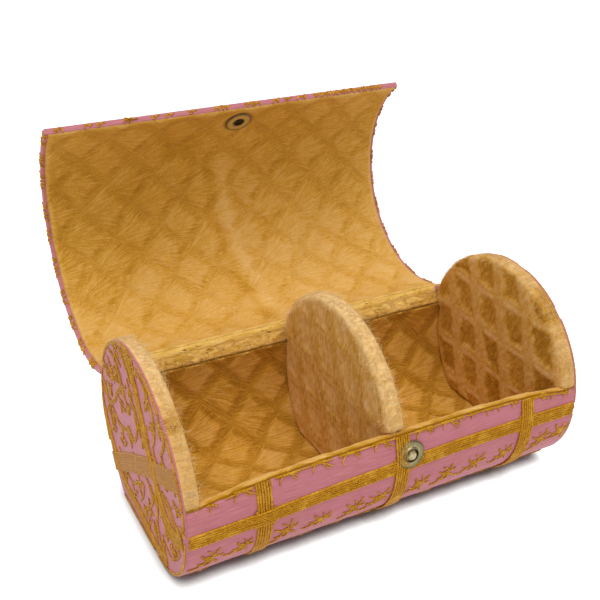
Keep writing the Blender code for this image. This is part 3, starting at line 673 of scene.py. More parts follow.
# Ring tones: near black in the hole and dark at the outer rim, painted shade, with tan brass between.
SOCKET_RINGS_WITH_PAINTED_SHADE = (
    (0.0, (0.004, 0.004, 0.004)), (0.38, (0.006, 0.005, 0.004)), (0.44, (0.36, 0.22, 0.06)),
    (0.56, (0.62, 0.42, 0.14)), (0.80, (0.54, 0.35, 0.10)), (0.90, (0.18, 0.11, 0.03)),
    (1.0, (0.05, 0.035, 0.012)),
)
socket_brass = make_brass(
    "socket_brass", 0.25, middle("snap_socket"), socket_out.normalized(), SOCKET_R, SOCKET_RINGS_WITH_PAINTED_SHADE, stained=0.25
)
HOLE_SHADE_ABOVE = -0.0001
CAP_RINGS = ((0.0, (0.50, 0.44, 0.27)), (0.5, (0.38, 0.33, 0.19)), (0.9, (0.16, 0.13, 0.06)))
cap_brass = make_brass(
    "cap_brass", 1.0, middle("snap_cap"), socket_out.normalized(), SOCKET_R, CAP_RINGS,
    shaded_above=HOLE_SHADE_ABOVE,
)
FRAME_FINISH = {
    "base_board": hardboard,
    "left_end_board": hardboard,
    "right_end_board": hardboard,
    "divider_board": hardboard,
    "lid_board": cardboard,
    "snap_stud": stud_brass,
    "snap_rivet": stud_brass,
    "snap_socket": socket_brass,
    "snap_cap": cap_brass,
    "snap_spring": wire,
}
for node_name, finish in FRAME_FINISH.items():
    node = frame["nodes"][node_name]
    node.data.materials.clear()
    node.data.materials.append(finish)
print("finished", len(FRAME_FINISH), "pieces of the frame")

# %% [markdown]
# ## The satin round the trough
#
# One piece of satin is glued round the outside, from the front edge, under the box and up the back. It
# is cut to length at the ends, and its top edges are tucked in by half a millimetre. Glued satin is
# never quite flat, so soft ripples of a tenth of a millimetre are added.

# %% Trough satin
BAND_X = (-0.0620, 0.0014, 0.0668)
BAND_LEVELS = (
    (-0.096, 5.0), (-0.060, 4.0), (-0.030, 2.3), (0.0, 1.2), (0.030, 0.1), (0.060, 0.1), (0.096, 0.7),
)
TUCK_DEPTH, TUCK_SHARE = 0.0005, 0.0055
SATIN_WAVE = 0.00018
FLAT_FOOT_Z = 0.0005


def band_level(x):
    """How far below the middle of the section the long band's centre runs at x."""
    places, levels = zip(*BAND_LEVELS)
    return np.interp(x, places, levels) * MM


def satin_ripples(points, depth):
    """Small waves of glued satin."""
    return depth * (0.6 * ripple(points, 0.011) + 0.4 * ripple(points, 0.004, 7.0))


trough_satin, across, around = grid("trough_satin", 128, 156)
satin_x = (across * 2 - 1) * SEAM_X
satin_top = front_top(satin_x) - SATIN_BELOW
satin_s = -satin_top + around * (outside.at[-1] + satin_top)
tuck = -TUCK_DEPTH * (bump(around, 0, TUCK_SHARE) + bump(around, 1, TUCK_SHARE))
points = outside.place(satin_x, satin_s)
lift = np.minimum(satin_ripples(points, SATIN_WAVE), points[:, 2] * 0.5)
set_points(trough_satin, outside.place(satin_x, satin_s, tuck + lift * (points[:, 2] > FLAT_FOOT_Z)))
keep(trough_satin, "cloth", np.stack([satin_x, satin_s, 0 * satin_x], -1))
thicken(trough_satin, SATIN_T, 1)
dress(trough_satin, satin, "base")
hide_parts("base_cover")

# %% [markdown]
# ## The end covers
#
# Each end is a disc of satin glued to a board, with the same outline as the section. The grid is rolled
# up into a disc: its columns become directions and its rows become rings, and the seam and the pole are
# then merged. The rim is rounded, where the cloth turns over the board's edge.

# %% Outlines as seen from the section's middle
def closed_line(depth):
    """The whole outline of an end, at a depth below its outside."""
    lower = trough_line(depth, math.pi, 0)
    return np.concatenate([lower, arc((0, RISE), SECTION_R - depth, 0, math.pi)[1:-1]])


def reach(points, angle):
    """Distance from the section's middle to an outline, in each direction."""
    own = np.arctan2(points[:, 1] - RISE, points[:, 0]) % (2 * math.pi)
    order = np.argsort(own)
    far = np.hypot(*(points - (0, RISE)).T)
    return np.interp(angle % (2 * math.pi), own[order], far[order], period=2 * math.pi)


def disc(name, directions, rings):
    """A grid rolled into a disc. rings(angle) gives, ring by ring, the distance out and the place on X."""
    ring_count = len(rings(np.zeros(1)))
    obj, turn, ring = grid(name, directions, ring_count - 1)
    angle = turn * 2 * math.pi
    ring_index = np.rint(ring * (ring_count - 1)).astype(int)
    radius, x = np.array(rings(angle))[ring_index, :, np.arange(len(angle))].T
    points = np.stack([x, radius * np.cos(angle), RISE + radius * np.sin(angle)], -1)
    return obj, points, angle, radius


def round_over(edge, radius, face_x, way, steps):
    """Rings that turn from a flat face over a rounded rim. way is the side of the face the rim lies on."""
    rings = []
    for bend in np.linspace(0, math.pi / 2, steps)[1:]:
        x = face_x + way * (radius - radius * math.cos(bend))
        rings.append((edge - radius + radius * math.sin(bend), x + 0 * edge))
    return rings


# %% End satin
END_ROUND = 0.0009
END_LIP = 0.0004
END_WAVE = 0.00015


def end_satin(name, side, cad_node):
    """The satin face of one end, over its round rim and under its edge."""
    def rings(angle):
        edge = reach(closed_line(0), angle)
        flat = [(share * (edge - END_ROUND), END_X + 0 * angle) for share in np.linspace(0, 1, 34)]
        back = [
            (edge - END_LIP, END_X - END_ROUND - 0.0001 + 0 * angle),
            (0 * angle, END_X - SATIN_T + 0 * angle),
        ]
        return flat + round_over(edge, END_ROUND, END_X, -1, 5) + back

    obj, points, angle, radius = disc(name, 180, rings)
    lift = satin_ripples(points, END_WAVE) * np.clip((SECTION_R - radius) / 0.01, 0, 1)
    points[:, 0] = (points[:, 0] + lift * (points[:, 0] > END_X - 0.0002)) * side
    set_points(obj, points)
    keep(obj, "cloth", np.stack([points[:, 1], points[:, 2], 0 * radius], -1))
    close_seams(obj)
    dress(obj, satin, "base")
    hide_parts(cad_node)


end_satin("left_end_satin", -1, "left_end_cover")
end_satin("right_end_satin", 1, "right_end_cover")

# %% [markdown]
# ## Velvet relief
#
# The pressed pattern is also real relief: a kite stands a little proud, and a square on the discs lies
# a little deep. The functions below give the height for a place on the flat cloth, with the same cells
# as the material has. The places drift slowly, because the cloth was stretched by hand as it was glued.

# %% Pressed relief
def smooth(value, low, high):
    """A soft step from 0 to 1."""
    share = np.clip((value - low) / (high - low), 0, 1)
    return share * share * (3 - 2 * share)


def warped(u, v, seed):
    """The place on the flat cloth, with the drift of hand-laid cloth."""
    spots = np.stack([u, v, 0 * u + seed], -1)
    return u + 0.0016 * ripple(spots, 0.035, seed), v + 0.0016 * ripple(spots, 0.035, seed + 5)


def cells(u, v, ways, start=(0, 0), narrow=1.0):
    """1 on a pressed cell and 0 between the cells."""
    first, second = [u * way[0] + v * way[1] + begin for way, begin in zip(ways, start)]
    distance = np.maximum(np.abs(first % 1 - 0.5) * narrow, np.abs(second % 1 - 0.5))
    return 1 - smooth(distance, CELL_SHARE - 0.06, CELL_SHARE + 0.06)


def kites(u, v):
    """1 on a pale kite and 0 between the kites."""
    return cells(u, v, KITE_WAYS)


def squares(u, v):
    """1 on a dark square and 0 between the squares."""
    return cells(u, v, SQUARE_WAYS, SQUARE_START, SQUARE_NARROW)


def pile_relief(pressed, points, height):
    """Pressed cells and loose pile together, in metres."""
    return height * (pressed - 0.5) + 0.00018 * ripple(points, 0.0016) + 0.00026 * ripple(points, 0.006, 3.0)


# %% [markdown]
# ## The trough's velvet
#
# The lining goes up the back wall, across the bottom, up the front wall and over its top edge, where it
# makes a soft roll just above the satin. The roll is a small arc added to the rail's front end.

# %% Trough velvet
KITE_RELIEF = 0.0007
VELVET_T = 0.0011
LINING_X = END_X - 0.0010
FOLD_R = 0.0022
FOLD_HEIGHT = 0.0013
FOLD_CREST, CREST_WIDTH = 1.45, 0.30
lining, across, around = grid("trough_velvet", 172, 176)
lining_x = (across * 2 - 1) * LINING_X
top = front_top(lining_x) * (SECTION_R - LINING_DEPTH) / SECTION_R - FOLD_HEIGHT
FOLD_LENGTH = math.pi * FOLD_R
total = inside.at[-1] + top + FOLD_LENGTH
travel = around * total - FOLD_LENGTH
turn = np.clip(-travel / FOLD_R, 0, math.pi)
s = np.maximum(travel, 0) - top
base_points = inside.place(lining_x, s)
normal = inside.place(lining_x, s, 1.0) - base_points
along = inside.place(lining_x, s - 0.001) - inside.place(lining_x, s + 0.001)
along /= np.linalg.norm(along, axis=1, keepdims=True)
fold_centre = base_points - normal * FOLD_R
roll_in, roll_up = (np.cos(turn) * FOLD_R)[:, None], (np.sin(turn) * FOLD_HEIGHT)[:, None]
rolled = fold_centre + normal * roll_in + along * roll_up
facing = normal * np.cos(turn)[:, None] + along * np.sin(turn)[:, None]
cloth_u, cloth_v = warped(lining_x, travel, 1.0)
on_roll = np.sin(np.minimum(turn, math.pi / 2))
height = pile_relief(kites(cloth_u, cloth_v), rolled, KITE_RELIEF) * (1 - 0.7 * on_roll)
height += 0.0002 * (1 - on_roll)
set_points(lining, rolled + facing * height[:, None])
# Tone of the roll: paler on it and palest on its crest, where the pile stands on the fold and a highlight is
# painted, and painted shade under it, just above the satin.
painted_shade_under_roll = smooth(turn, 2.3, 2.8)
pile_and_painted_light = 0.15 * on_roll + 0.8 * bump(turn, FOLD_CREST, CREST_WIDTH) - 1.2 * painted_shade_under_roll
keep(lining, "cloth", np.stack([cloth_u, cloth_v, pile_and_painted_light], -1))
thicken(lining, VELVET_T)
dress(lining, trough_kites, "base")
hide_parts("base_lining")

# %% [markdown]
# ## The end pads and the divider
#
# These are boards wrapped in velvet over a little wadding: the faces are crowned, the rims are round and
# fuzzy, and the pile stands up along the rim. They are discs like the end covers, closed on both sides.
# Above the walls a pad reaches the full radius, and below them it sits inside the lining. The rims are
# painted paler towards the top, painted light from above, and the pile stands up in tufts.

# %% Padded discs
PAD_ROUND = 0.0022
PAD_BACK_X, PAD_RIM_X = 0.0912, 0.0944
PAD_CROWN = 0.0004
PAD_RELIEF = 0.0006
PAD_RIM_LIGHT_HEIGHTS = (0.072, 0.100)
TUFTED = 0.20


def pad_reach(angle):
    """How far a pad reaches in each direction, and how far it stands above the walls, from 0 to 1."""
    front = math.pi - math.asin((FRONT_END_Z - RISE) / SECTION_R)
    above = smooth(angle, back_angle - 0.02, back_angle + 0.05) * smooth(-angle, -front - 0.045, -front)
    low = reach(closed_line(LINING_DEPTH + 0.0001), angle)
    return low + (SECTION_R + 0.0001 - low) * above, above


def end_velvet(name, side, cad_node, rim_light_low, rim_light_high):
    """A padded disc. The two rim values say how pale the rim is painted low down and at the top: painted
    light, stronger higher up.
    """
    def rings(angle):
        edge, above = pad_reach(angle)
        deep = PAD_BACK_X + (PAD_RIM_X - PAD_BACK_X) * above
        face = [
            (share * (edge - PAD_ROUND), PAD_X - PAD_CROWN * (1 - share**2) + 0 * angle)
            for share in np.linspace(0, 1, 60)
        ]
        flank = PAD_X + PAD_ROUND
        rim = [(edge, flank + (deep - flank) * share) for share in np.linspace(0, 1, 7)[1:]]
        flat_back = PAD_BACK_X + 0 * angle
        back = [(edge - 0.0008, deep), (edge - 0.0009, flat_back), (0 * angle, flat_back)]
        return face + round_over(edge, PAD_ROUND, PAD_X, 1, 6) + rim + back

    obj, points, angle, radius = disc(name, 240, rings)
    edge, above = pad_reach(angle)
    cloth_y, cloth_z = warped(points[:, 1], points[:, 2], 4.0 * side)
    ragged = 0.0013 * ripple(points, 0.004, 5.0)
    rim_share = smooth(radius, edge - 0.0052 + ragged, edge - 0.0014 + ragged)
    shown = points[:, 0] < PAD_BACK_X - 0.0001 + 0.003 * above
    relief_height = pile_relief(1 - squares(cloth_y, cloth_z), points, PAD_RELIEF) * (1 - rim_share)
    fuzz = (0.00032 * ripple(points, 0.0013, 2.0) + 0.0003 * ripple(points, 0.005, 9.0)) * rim_share
    outward = np.stack([0 * angle, np.cos(angle), np.sin(angle)], -1)
    points[:, 0] -= np.where(shown, relief_height, 0)
    points += outward * (np.where(shown, 0.8 * fuzz, 0) - 0.0003)[:, None]
    points[:, 0] *= side
    set_points(obj, points)
    # Rim tone: painted light that grows towards the top, and tufts of standing pile.
    pile = rim_light_low + (rim_light_high - rim_light_low) * smooth(points[:, 2], *PAD_RIM_LIGHT_HEIGHTS)
    pile += TUFTED * ripple(points, 0.004, 25.0)
    keep(obj, "cloth", np.stack([cloth_y, cloth_z, rim_share * pile], -1))
    close_seams(obj)
    dress(obj, pad_squares, "base")
    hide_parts(cad_node)


end_velvet("left_end_velvet", -1, "left_end_pad", 0.32, 0.95)
end_velvet("right_end_velvet", 1, "right_end_pad", 0.12, 0.36)

# %% Divider
sleeve_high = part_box("divider_sleeve")[1]
SLEEVE_X = sleeve_high.x
SLEEVE_TOP_R = sleeve_high.z - RISE
DIVIDER_ROUND = 0.0026
DIVIDER_RELIEF = 0.0005
DIVIDER_RIM_LIGHT_HEIGHTS = (0.070, 0.098)


def divider_reach(angle):
    """How far the divider reaches in each direction: the lining below, its own crown above."""
    front = math.pi - math.asin((FRONT_END_Z + FRONT_BOW - RISE) / SECTION_R)
    behind = smooth(angle, math.radians(14.0), math.radians(22.0))
    above = behind * smooth(-angle, -front - 0.03, -front + 0.04)
    low = reach(closed_line(LINING_DEPTH + 0.0002), angle)
    return low + (SLEEVE_TOP_R - low) * above, above


def divider_rings(angle):
    """Both faces of the divider and the round rim between them."""
    edge = divider_reach(angle)[0]
    face = [
        (share * (edge - DIVIDER_ROUND), SLEEVE_X + 0.0002 * (1 - share**2) + 0 * angle)
        for share in np.linspace(0, 1, 58)
    ]
    near = face + round_over(edge, DIVIDER_ROUND, SLEEVE_X, -1, 6)
    far = [(radius, -x) for radius, x in reversed(near)]
    return near + [(edge + 0.0002, 0 * angle)] + far


divider, points, angle, radius = disc("divider_velvet", 240, divider_rings)
edge, above = divider_reach(angle)
cloth_y, cloth_z = warped(points[:, 1], points[:, 2], 8.0)
ragged = 0.0014 * ripple(points, 0.004, 15.0)
rim_share = smooth(radius, edge - 0.0042 + ragged, edge - 0.0010 + ragged)
bulge = pile_relief(1 - squares(cloth_y, cloth_z), points, DIVIDER_RELIEF) * (1 - rim_share)
outward = np.stack([0 * angle, np.cos(angle), np.sin(angle)], -1)
fuzz = (0.00034 * ripple(points, 0.0013, 12.0) + 0.00034 * ripple(points, 0.005, 19.0)) * rim_share
points[:, 0] += np.sign(points[:, 0]) * bulge
points += outward * fuzz[:, None]
set_points(divider, points)
# Rim tone: painted light, paler above the walls and towards the top, and tufts of standing pile.
pile = 0.2 + 0.5 * above + 0.45 * smooth(points[:, 2], *DIVIDER_RIM_LIGHT_HEIGHTS)
pile += TUFTED * ripple(points, 0.004, 27.0)
keep(divider, "cloth", np.stack([cloth_y, cloth_z, rim_share * pile], -1))
close_seams(divider)
dress(divider, divider_squares, "base")
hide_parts("divider_sleeve")

# %% [markdown]
# ## The hinge strip and the hinge cloth
#
# A strip of rougher cloth pads the top of the back wall. The lid turns on cloth too: satin outside and
# velvet inside are glued across the gap. These are shaped round the hinge as it stands open, and ride
# on neither body.

# %% Hinge strip
strip_low, strip_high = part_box("hinge_strip")
STRIP_X = strip_high.x
STRIP_BOW = 0.0010
STRIP_FOOT = np.array([strip_low.y, strip_low.z])
STRIP_TOP = np.array([strip_high.y - 0.0012, strip_high.z])
strip, across, around = grid("hinge_strip_cloth", 190, 20)
strip_x = (across * 2 - 1) * STRIP_X
slope = STRIP_TOP - STRIP_FOOT
slope_out = np.array([-slope[1], slope[0]]) / np.linalg.norm(slope)
bow = STRIP_BOW * np.sin(np.minimum(around, 0.5) * math.pi) ** 0.5
turn_down = -0.0016 * smooth(-around, -0.14, 0.0)
line = STRIP_FOOT + slope * around[:, None]
spots = np.stack([strip_x, line[:, 0], line[:, 1]], -1)
rough = 0.0004 * ripple(spots, 0.0015) + 0.0005 * ripple(spots, 0.005, 4.0)
line = line + slope_out * (bow + turn_down + rough)[:, None]
set_points(strip, np.stack([strip_x, line[:, 0], line[:, 1]], -1))
keep(strip, "cloth", np.stack([strip_x, around * 0.008, 0 * strip_x], -1))
thicken(strip, VELVET_T)
dress(strip, rough_cloth, "base")
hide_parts("hinge_strip")

# %% Hinge cloth
def hinge_cloth(name, line, material, thickness, half_x):
    """A strip of cloth that crosses from the back wall to the lid, and bends about the hinge."""
    obj, across, around = grid(name, 120, 10)
    x = (across * 2 - 1) * half_x
    steps = np.concatenate([[0], np.cumsum(np.linalg.norm(np.diff(line, axis=0), axis=1))])
    y = np.interp(around * steps[-1], steps, line[:, 0])
    z = np.interp(around * steps[-1], steps, line[:, 1])
    set_points(obj, np.stack([x, y, z], -1))
    keep(obj, "cloth", np.stack([x, 0.02 - (1 - around) * steps[-1], 0 * x], -1))
    thicken(obj, thickness, 0)
    dress(obj, material)
    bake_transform(obj)
    return obj


# %% [markdown]
# ## The lid's satin
#
# The lid's cover goes over the outside, round all four edges and under the velvet's edge. The grid is
# wider than the lid: what lies past the edge is folded round it, first down the edge and then back
# inwards, so the corners close like folded cloth. The velvet fills the last half millimetre of the edge.

# %% Lid satin
LID_TURN_IN = 0.0022
EDGE_ROUND = 0.0006
EDGE_SATIN = LID_T - 0.0005
LID_SATIN_T = 0.0004


def folded(over, thickness):
    """Where cloth that runs past an edge goes: inwards from the edge, and down from the face."""
    corner = EDGE_ROUND * math.pi / 2
    bends = [
        (0, 0, 0),
        (corner * 0.5, -EDGE_ROUND * 0.29, EDGE_ROUND * 0.29),
        (corner, 0, EDGE_ROUND),
        (corner + thickness - 2 * EDGE_ROUND, 0, thickness - EDGE_ROUND),
        (corner * 1.5 + thickness - 2 * EDGE_ROUND, -EDGE_ROUND * 0.29, thickness - EDGE_ROUND * 0.29),
        (corner * 2 + thickness - 2 * EDGE_ROUND, -EDGE_ROUND, thickness),
        (corner * 2 + thickness - 2 * EDGE_ROUND + LID_TURN_IN, -EDGE_ROUND - LID_TURN_IN, thickness),
    ]
    at, inwards, down = np.array(bends).T
    inwards[0] = -EDGE_ROUND
    return np.interp(over, at, inwards), np.interp(over, at, down)


over_steps = np.array([0.25, 0.5, 0.75, 1.0, 1.8, 2.6, 3.1, 3.5, 3.9, 4.4, 5.2]) * MM
inner_x = END_X - EDGE_ROUND
s_start, s_end = EDGE_ROUND, LID_GIRTH - EDGE_ROUND
x_line, s_line = [
    np.concatenate([start - over_steps[::-1], np.linspace(start, end, 121), end + over_steps])
    for start, end in ((-inner_x, inner_x), (s_start, s_end))
]
lid_satin, across, around = grid("lid_satin", len(x_line) - 1, len(s_line) - 1)
flat_x = x_line[np.rint(across * (len(x_line) - 1)).astype(int)]
flat_s = s_line[np.rint(around * (len(s_line) - 1)).astype(int)]
over_x = np.maximum(np.abs(flat_x) - inner_x, 0)
over_s = np.maximum(np.maximum(s_start - flat_s, flat_s - s_end), 0)
over = np.maximum(over_x, over_s)
down = np.maximum(folded(over_x, EDGE_SATIN)[1], folded(over_s, EDGE_SATIN)[1])
inset = np.where(over > 0, folded(over, EDGE_SATIN)[0], 0.0)
edge_s = np.clip(flat_s, -inset, LID_GIRTH + inset)
edge_x = np.where(over > 0, np.clip(flat_x, -(END_X + inset), END_X + inset), flat_x)
spots = lid_outside.place(edge_x, edge_s, -down)
wave = satin_ripples(spots, SATIN_WAVE)
set_points(lid_satin, lid_outside.place(edge_x, edge_s, -down + wave * (down < 0.0002)))
keep(lid_satin, "cloth", np.stack([flat_x, flat_s, 0 * flat_x], -1))
close_seams(lid_satin, outward=False)
thicken(lid_satin, LID_SATIN_T)
dress(lid_satin, satin, "lid")
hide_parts("lid_cover")

# %% [markdown]
# ## The lid's velvet
#
# The inside of the lid shows the pressed kites best. A soft crease runs down its middle, where the card
# was folded once. Round the press stud's socket the pile is pressed down, and a hole is cut for it. The
# crease gets a painted highlight along its ridge and painted shade beside it, and painted light makes
# the pile darker towards the free edge and paler towards the hinge and on the right.

# %% Lid velvet
SOCKET_HOLE_R = 0.0040


def pierce(obj, marked):
    """Cuts the marked points and their faces out of a sheet."""
    select_only(obj)
    bpy.ops.object.mode_set(mode="EDIT")
    bpy.ops.mesh.select_all(action="DESELECT")
    bpy.ops.object.mode_set(mode="OBJECT")
    obj.data.vertices.foreach_set("select", marked)
    bpy.ops.object.mode_set(mode="EDIT")
    bpy.ops.mesh.delete(type="VERT")
    bpy.ops.object.mode_set(mode="OBJECT")


SNAP_X = middle("snap_socket").x
socket_place = np.array(middle("snap_socket"))[1:]
SOCKET_S = lid_inside.at[np.argmin(np.linalg.norm(lid_inside.points - socket_place, axis=1))]
CREASE = ((0.0, 3.0), (45.0, -1.0), (75.0, 1.0), (110.0, 6.0), (150.0, 7.0))
LID_EDGE_IN = 0.0002
LID_SIDE_IN = 0.0017
velvet_half, velvet_length = END_X - LID_SIDE_IN, LID_INNER_GIRTH - 2 * LID_EDGE_IN
lid_velvet, across, around = grid("lid_velvet", 176, 160)
velvet_x = (across * 2 - 1) * velvet_half
velvet_s = LID_EDGE_IN + around * velvet_length
spots = lid_inside.place(velvet_x, velvet_s)
cloth_u, cloth_v = warped(velvet_x, velvet_s, 14.0)
from_ends = np.minimum(velvet_s - LID_EDGE_IN, LID_INNER_GIRTH - LID_EDGE_IN - velvet_s)
from_edge = np.minimum(velvet_half - np.abs(velvet_x), from_ends)
roll_down = -0.0006 * bump(from_edge, 0, 0.0009) + 0.0004 * bump(from_edge, 0.0022, 0.001)
crease_at, crease_x = (np.array(column) * MM for column in zip(*CREASE))
from_crease = velvet_x - np.interp(velvet_s, crease_at, crease_x)
crease = 0.0009 * bump(from_crease, 0, 0.0032) * smooth(velvet_s, 0.035, 0.06)
from_socket = np.hypot(velvet_x - SNAP_X, velvet_s - SOCKET_S)
dimple = -0.0006 * smooth(-from_socket, -0.0100, -0.0070) + 0.0004 * bump(from_socket, 0.0100, 0.002)
kite_height = pile_relief(kites(cloth_u, cloth_v), spots, KITE_RELIEF)
kite_height *= smooth(from_edge, 0, 0.003) * smooth(from_socket, 0.006, 0.011)
velvet_height = 0.0002 + roll_down + crease + dimple + kite_height
set_points(lid_velvet, lid_inside.place(velvet_x, velvet_s, velvet_height))
rim_pile = bump(from_edge, 0, 0.0015) * 0.35
# Painted highlight along the crease's ridge and painted shade beside it; then painted light: darker towards
# the free edge, paler towards the hinge and on the right.
crease_painted_light = bump(from_crease, 0, 0.0042) - 0.8 * bump(from_crease, -0.0075, 0.0035)
crease_painted_light *= 0.30 * smooth(velvet_s, 0.035, 0.05)
painted_light_on_lid = 0.36 * smooth(velvet_s, 0.02, 0.13) - 0.20 + 0.10 * smooth(velvet_x, -0.05, 0.06)
keep(lid_velvet, "cloth", np.stack([cloth_u, cloth_v, rim_pile + crease_painted_light + painted_light_on_lid], -1))
pierce(lid_velvet, from_socket < SOCKET_HOLE_R)
thicken(lid_velvet, VELVET_T, 1)
dress(lid_velvet, lid_kites, "lid")
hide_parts("lid_lining")

# %% Hinge cloth lines
back_top = outside.points[-1]
lid_back_outer = lid_outside.points[-1]
lid_back_inner = lid_inside.points[-1]
hinge_middle = np.array([HINGE_Y, HINGE_Z])
outer_line = np.array([
    back_top + (0.0002, -0.004), back_top + (0.0006, 0.001), hinge_middle + (0.0016, -0.0012),
    lid_back_outer + (0.0004, -0.0012),
])
inner_line = np.array([
    STRIP_TOP - 0.45 * slope - slope_out * 0.0006,
    STRIP_TOP - 0.1 * slope + slope_out * 0.0008,
    STRIP_TOP + slope_out * 0.0012 + (0.0, 0.0004),
    hinge_middle + (-0.0011, 0.0012),
    lid_back_inner + (0.0002, 0.0007),
    lid_inside.points[-8] + (0.0, 0.0006),
])
outer_x, inner_cloth_x = END_X - 0.0006, PAD_X - 0.0004
hinge_cloth("hinge_cloth_outside", outer_line, satin, 0.0005, outer_x)
inner_cloth = hinge_cloth(
    "hinge_cloth_inside", inner_line, rough_cloth, 0.0006, inner_cloth_x
)
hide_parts("hinge_roll")

# %% [markdown]
# ## Gold thread
#
# Each band is several two-ply cords laid side by side. A two-ply cord is modelled as an oval profile
# that is swept along the line and turned steadily, by the tilt of the curve's points: seen from the
# side, that is exactly what two twisted strands look like. Neighbouring cords twist opposite ways,
# which gives the band its plaited look. All the cords of one piece are splines of one curve, made a
# mesh at the end.

# %% Cord maker
PLY = 0.00056
PLY_THIN = 0.00050
CORD_GAP = 0.00114
TWIST = 0.0027
CORD_STEP = 0.00045
STITCH_GAP, FINE = 0.00062, 0.66


def oval():
    """The profile of a two-ply cord."""
    curve = bpy.data.curves.new("cord_profile", "CURVE")
    curve.dimensions = "2D"
    spline = curve.splines.new("POLY")
    spline.points.add(5)
    for index, point in enumerate(spline.points):
        angle = index * math.pi / 3
        point.co = (PLY * math.cos(angle), PLY_THIN * math.sin(angle), 0, 1)
    spline.use_cyclic_u = True
    return bpy.data.objects.new("cord_profile", curve)


cord_profile = oval()


def resampled(route):
    """A route of (u, v) points as evenly spaced points on a smooth line."""
    route = np.array(route, float)
    steps = np.concatenate([[0], np.cumsum(np.linalg.norm(np.diff(route, axis=0), axis=1))])
    count = max(4, int(steps[-1] / CORD_STEP))
    at = np.linspace(0, steps[-1], count)
    line = np.stack([np.interp(at, steps, route[:, 0]), np.interp(at, steps, route[:, 1])], -1)
    if len(route) > 2:
        window = max(1, min(7, count // 4))
        kernel = np.ones(2 * window + 1) / (2 * window + 1)
        padded_line = np.pad(line, ((window, window), (0, 0)), mode="reflect", reflect_type="odd")
        line = np.stack([np.convolve(padded_line[:, axis], kernel, mode="valid") for axis in (0, 1)], -1)
    return line


def cords(route, count, seed, gap=CORD_GAP, taper=0.0, thick=1.0):
    """Parallel cords along a route, each with a slight wander and its own twist."""
    line = resampled(route)
    tangent = np.gradient(line, axis=0)
    tangent /= np.maximum(np.linalg.norm(tangent, axis=1, keepdims=True), 1e-12)
    side = np.stack([-tangent[:, 1], tangent[:, 0]], -1)
    made = []
    for index in range(count):
        spots = np.stack([line[:, 0], line[:, 1], 0 * line[:, 0] + seed + index], -1)
        wander = 0.00014 * ripple(spots, 0.004, seed + index * 3.1)
        offset = (index - (count - 1) / 2) * gap + wander
        along = np.linspace(0, 1, len(line))
        pinch = 1 - taper * (2 * along - 1) ** 2
        way = 1 if index % 2 else -1
        turn = np.arange(len(line)) * CORD_STEP / TWIST * 2 * math.pi * way + seed + index * 1.3
        size = thick * (1 - taper * 0.6 * (2 * along - 1) ** 2)
        made.append((line + side * (offset * pinch)[:, None], turn, size))
    return made


def new_curve(name):
    """An empty curve that will become a mesh with closed ends."""
    curve = bpy.data.curves.new(name, "CURVE")
    curve.dimensions = "3D"
    curve.use_fill_caps = True
    return curve


def add_run(curve, spots, thick, turn):
    """Adds a line of points to a curve, with its thickness and its turn at each point."""
    spline = curve.splines.new("POLY")
    spline.points.add(len(spots) - 1)
    homogeneous = np.concatenate([spots, np.ones((len(spots), 1))], 1)
    for key, values in (("co", homogeneous), ("radius", thick), ("tilt", turn)):
        spline.points.foreach_set(key, np.asarray(values, np.float32).ravel())


def made_mesh(curve, material, body):
    """Turns a curve into a closed mesh and dresses it."""
    obj = bpy.data.objects.new(curve.name, curve)
    bpy.context.scene.collection.objects.link(obj)
    select_only(obj)
    bpy.ops.object.convert(target="MESH")
    obj = bpy.context.object
    close_seams(obj)
    dress(obj, material, body)


def sew(name, runs, place, body, lift=0.00022, material=gold):
    """Makes one mesh of many cords. place(u, v, height) puts cloth places on the box."""
    curve = new_curve(name)
    curve.bevel_mode = "OBJECT"
    curve.bevel_object = cord_profile
    for line, turn, thick in runs:
        add_run(curve, place(line[:, 0], line[:, 1], lift), thick, turn)
    made_mesh(curve, material, body)


# %% [markdown]
# ### Bands round the trough
#
# Three bands go round the section and long bands run the other way. The front one was sewn by hand and
# rises a little from left to right. It passes over the left band and under the other two, and short
# slanting stitches fill the corners of the crossings. Under the foot the cords are pressed flat.

# %% Trough bands
SEAM_GAP = 0.0009
FOOT_LEVEL = 0.0014
BAND_CORDS = 6
BAND_WIDTH = BAND_CORDS * CORD_GAP
CORNER_STEPS = (0.6, 1.5)


def on_trough(u, v, height):
    """Cord places on the trough: kept off the end seams, and pressed into the cloth under the foot."""
    u = np.clip(u, -SEAM_X + SEAM_GAP, SEAM_X - SEAM_GAP)
    level = outside.place(u, v)[:, 2]
    return outside.place(u, v, height - (height + 0.00055) * (1 - smooth(level, 0.0, FOOT_LEVEL)))


def on_trough_long(u, v, height):
    """Places of the long bands, which climb over the left round band."""
    return on_trough(u, v, height + 0.00052 * (1 - smooth(np.abs(u - BAND_X[0]), 0.0035, 0.0060)))


def on_trough_round(u, v, height):
    """Places of the round bands: the left one lies on the satin, the others over the long bands."""
    return on_trough(u, v, height + 0.0004 * (u > BAND_X[0] + BAND_WIDTH))


def corner_stitches(x, level, seed):
    """Slanting stitches in the four corners of a crossing."""
    runs = []
    edge = BAND_WIDTH / 2 - 0.0002
    for right, down in ((-1, -1), (-1, 1), (1, -1), (1, 1)):
        for step in CORNER_STEPS:
            far = edge + step * MM
            route = [(x + right * edge, level + down * far), (x + right * far, level + down * edge)]
            runs += cords(route, 1, seed + step + right + 2 * down, STITCH_GAP, 0.5, FINE)
    return runs


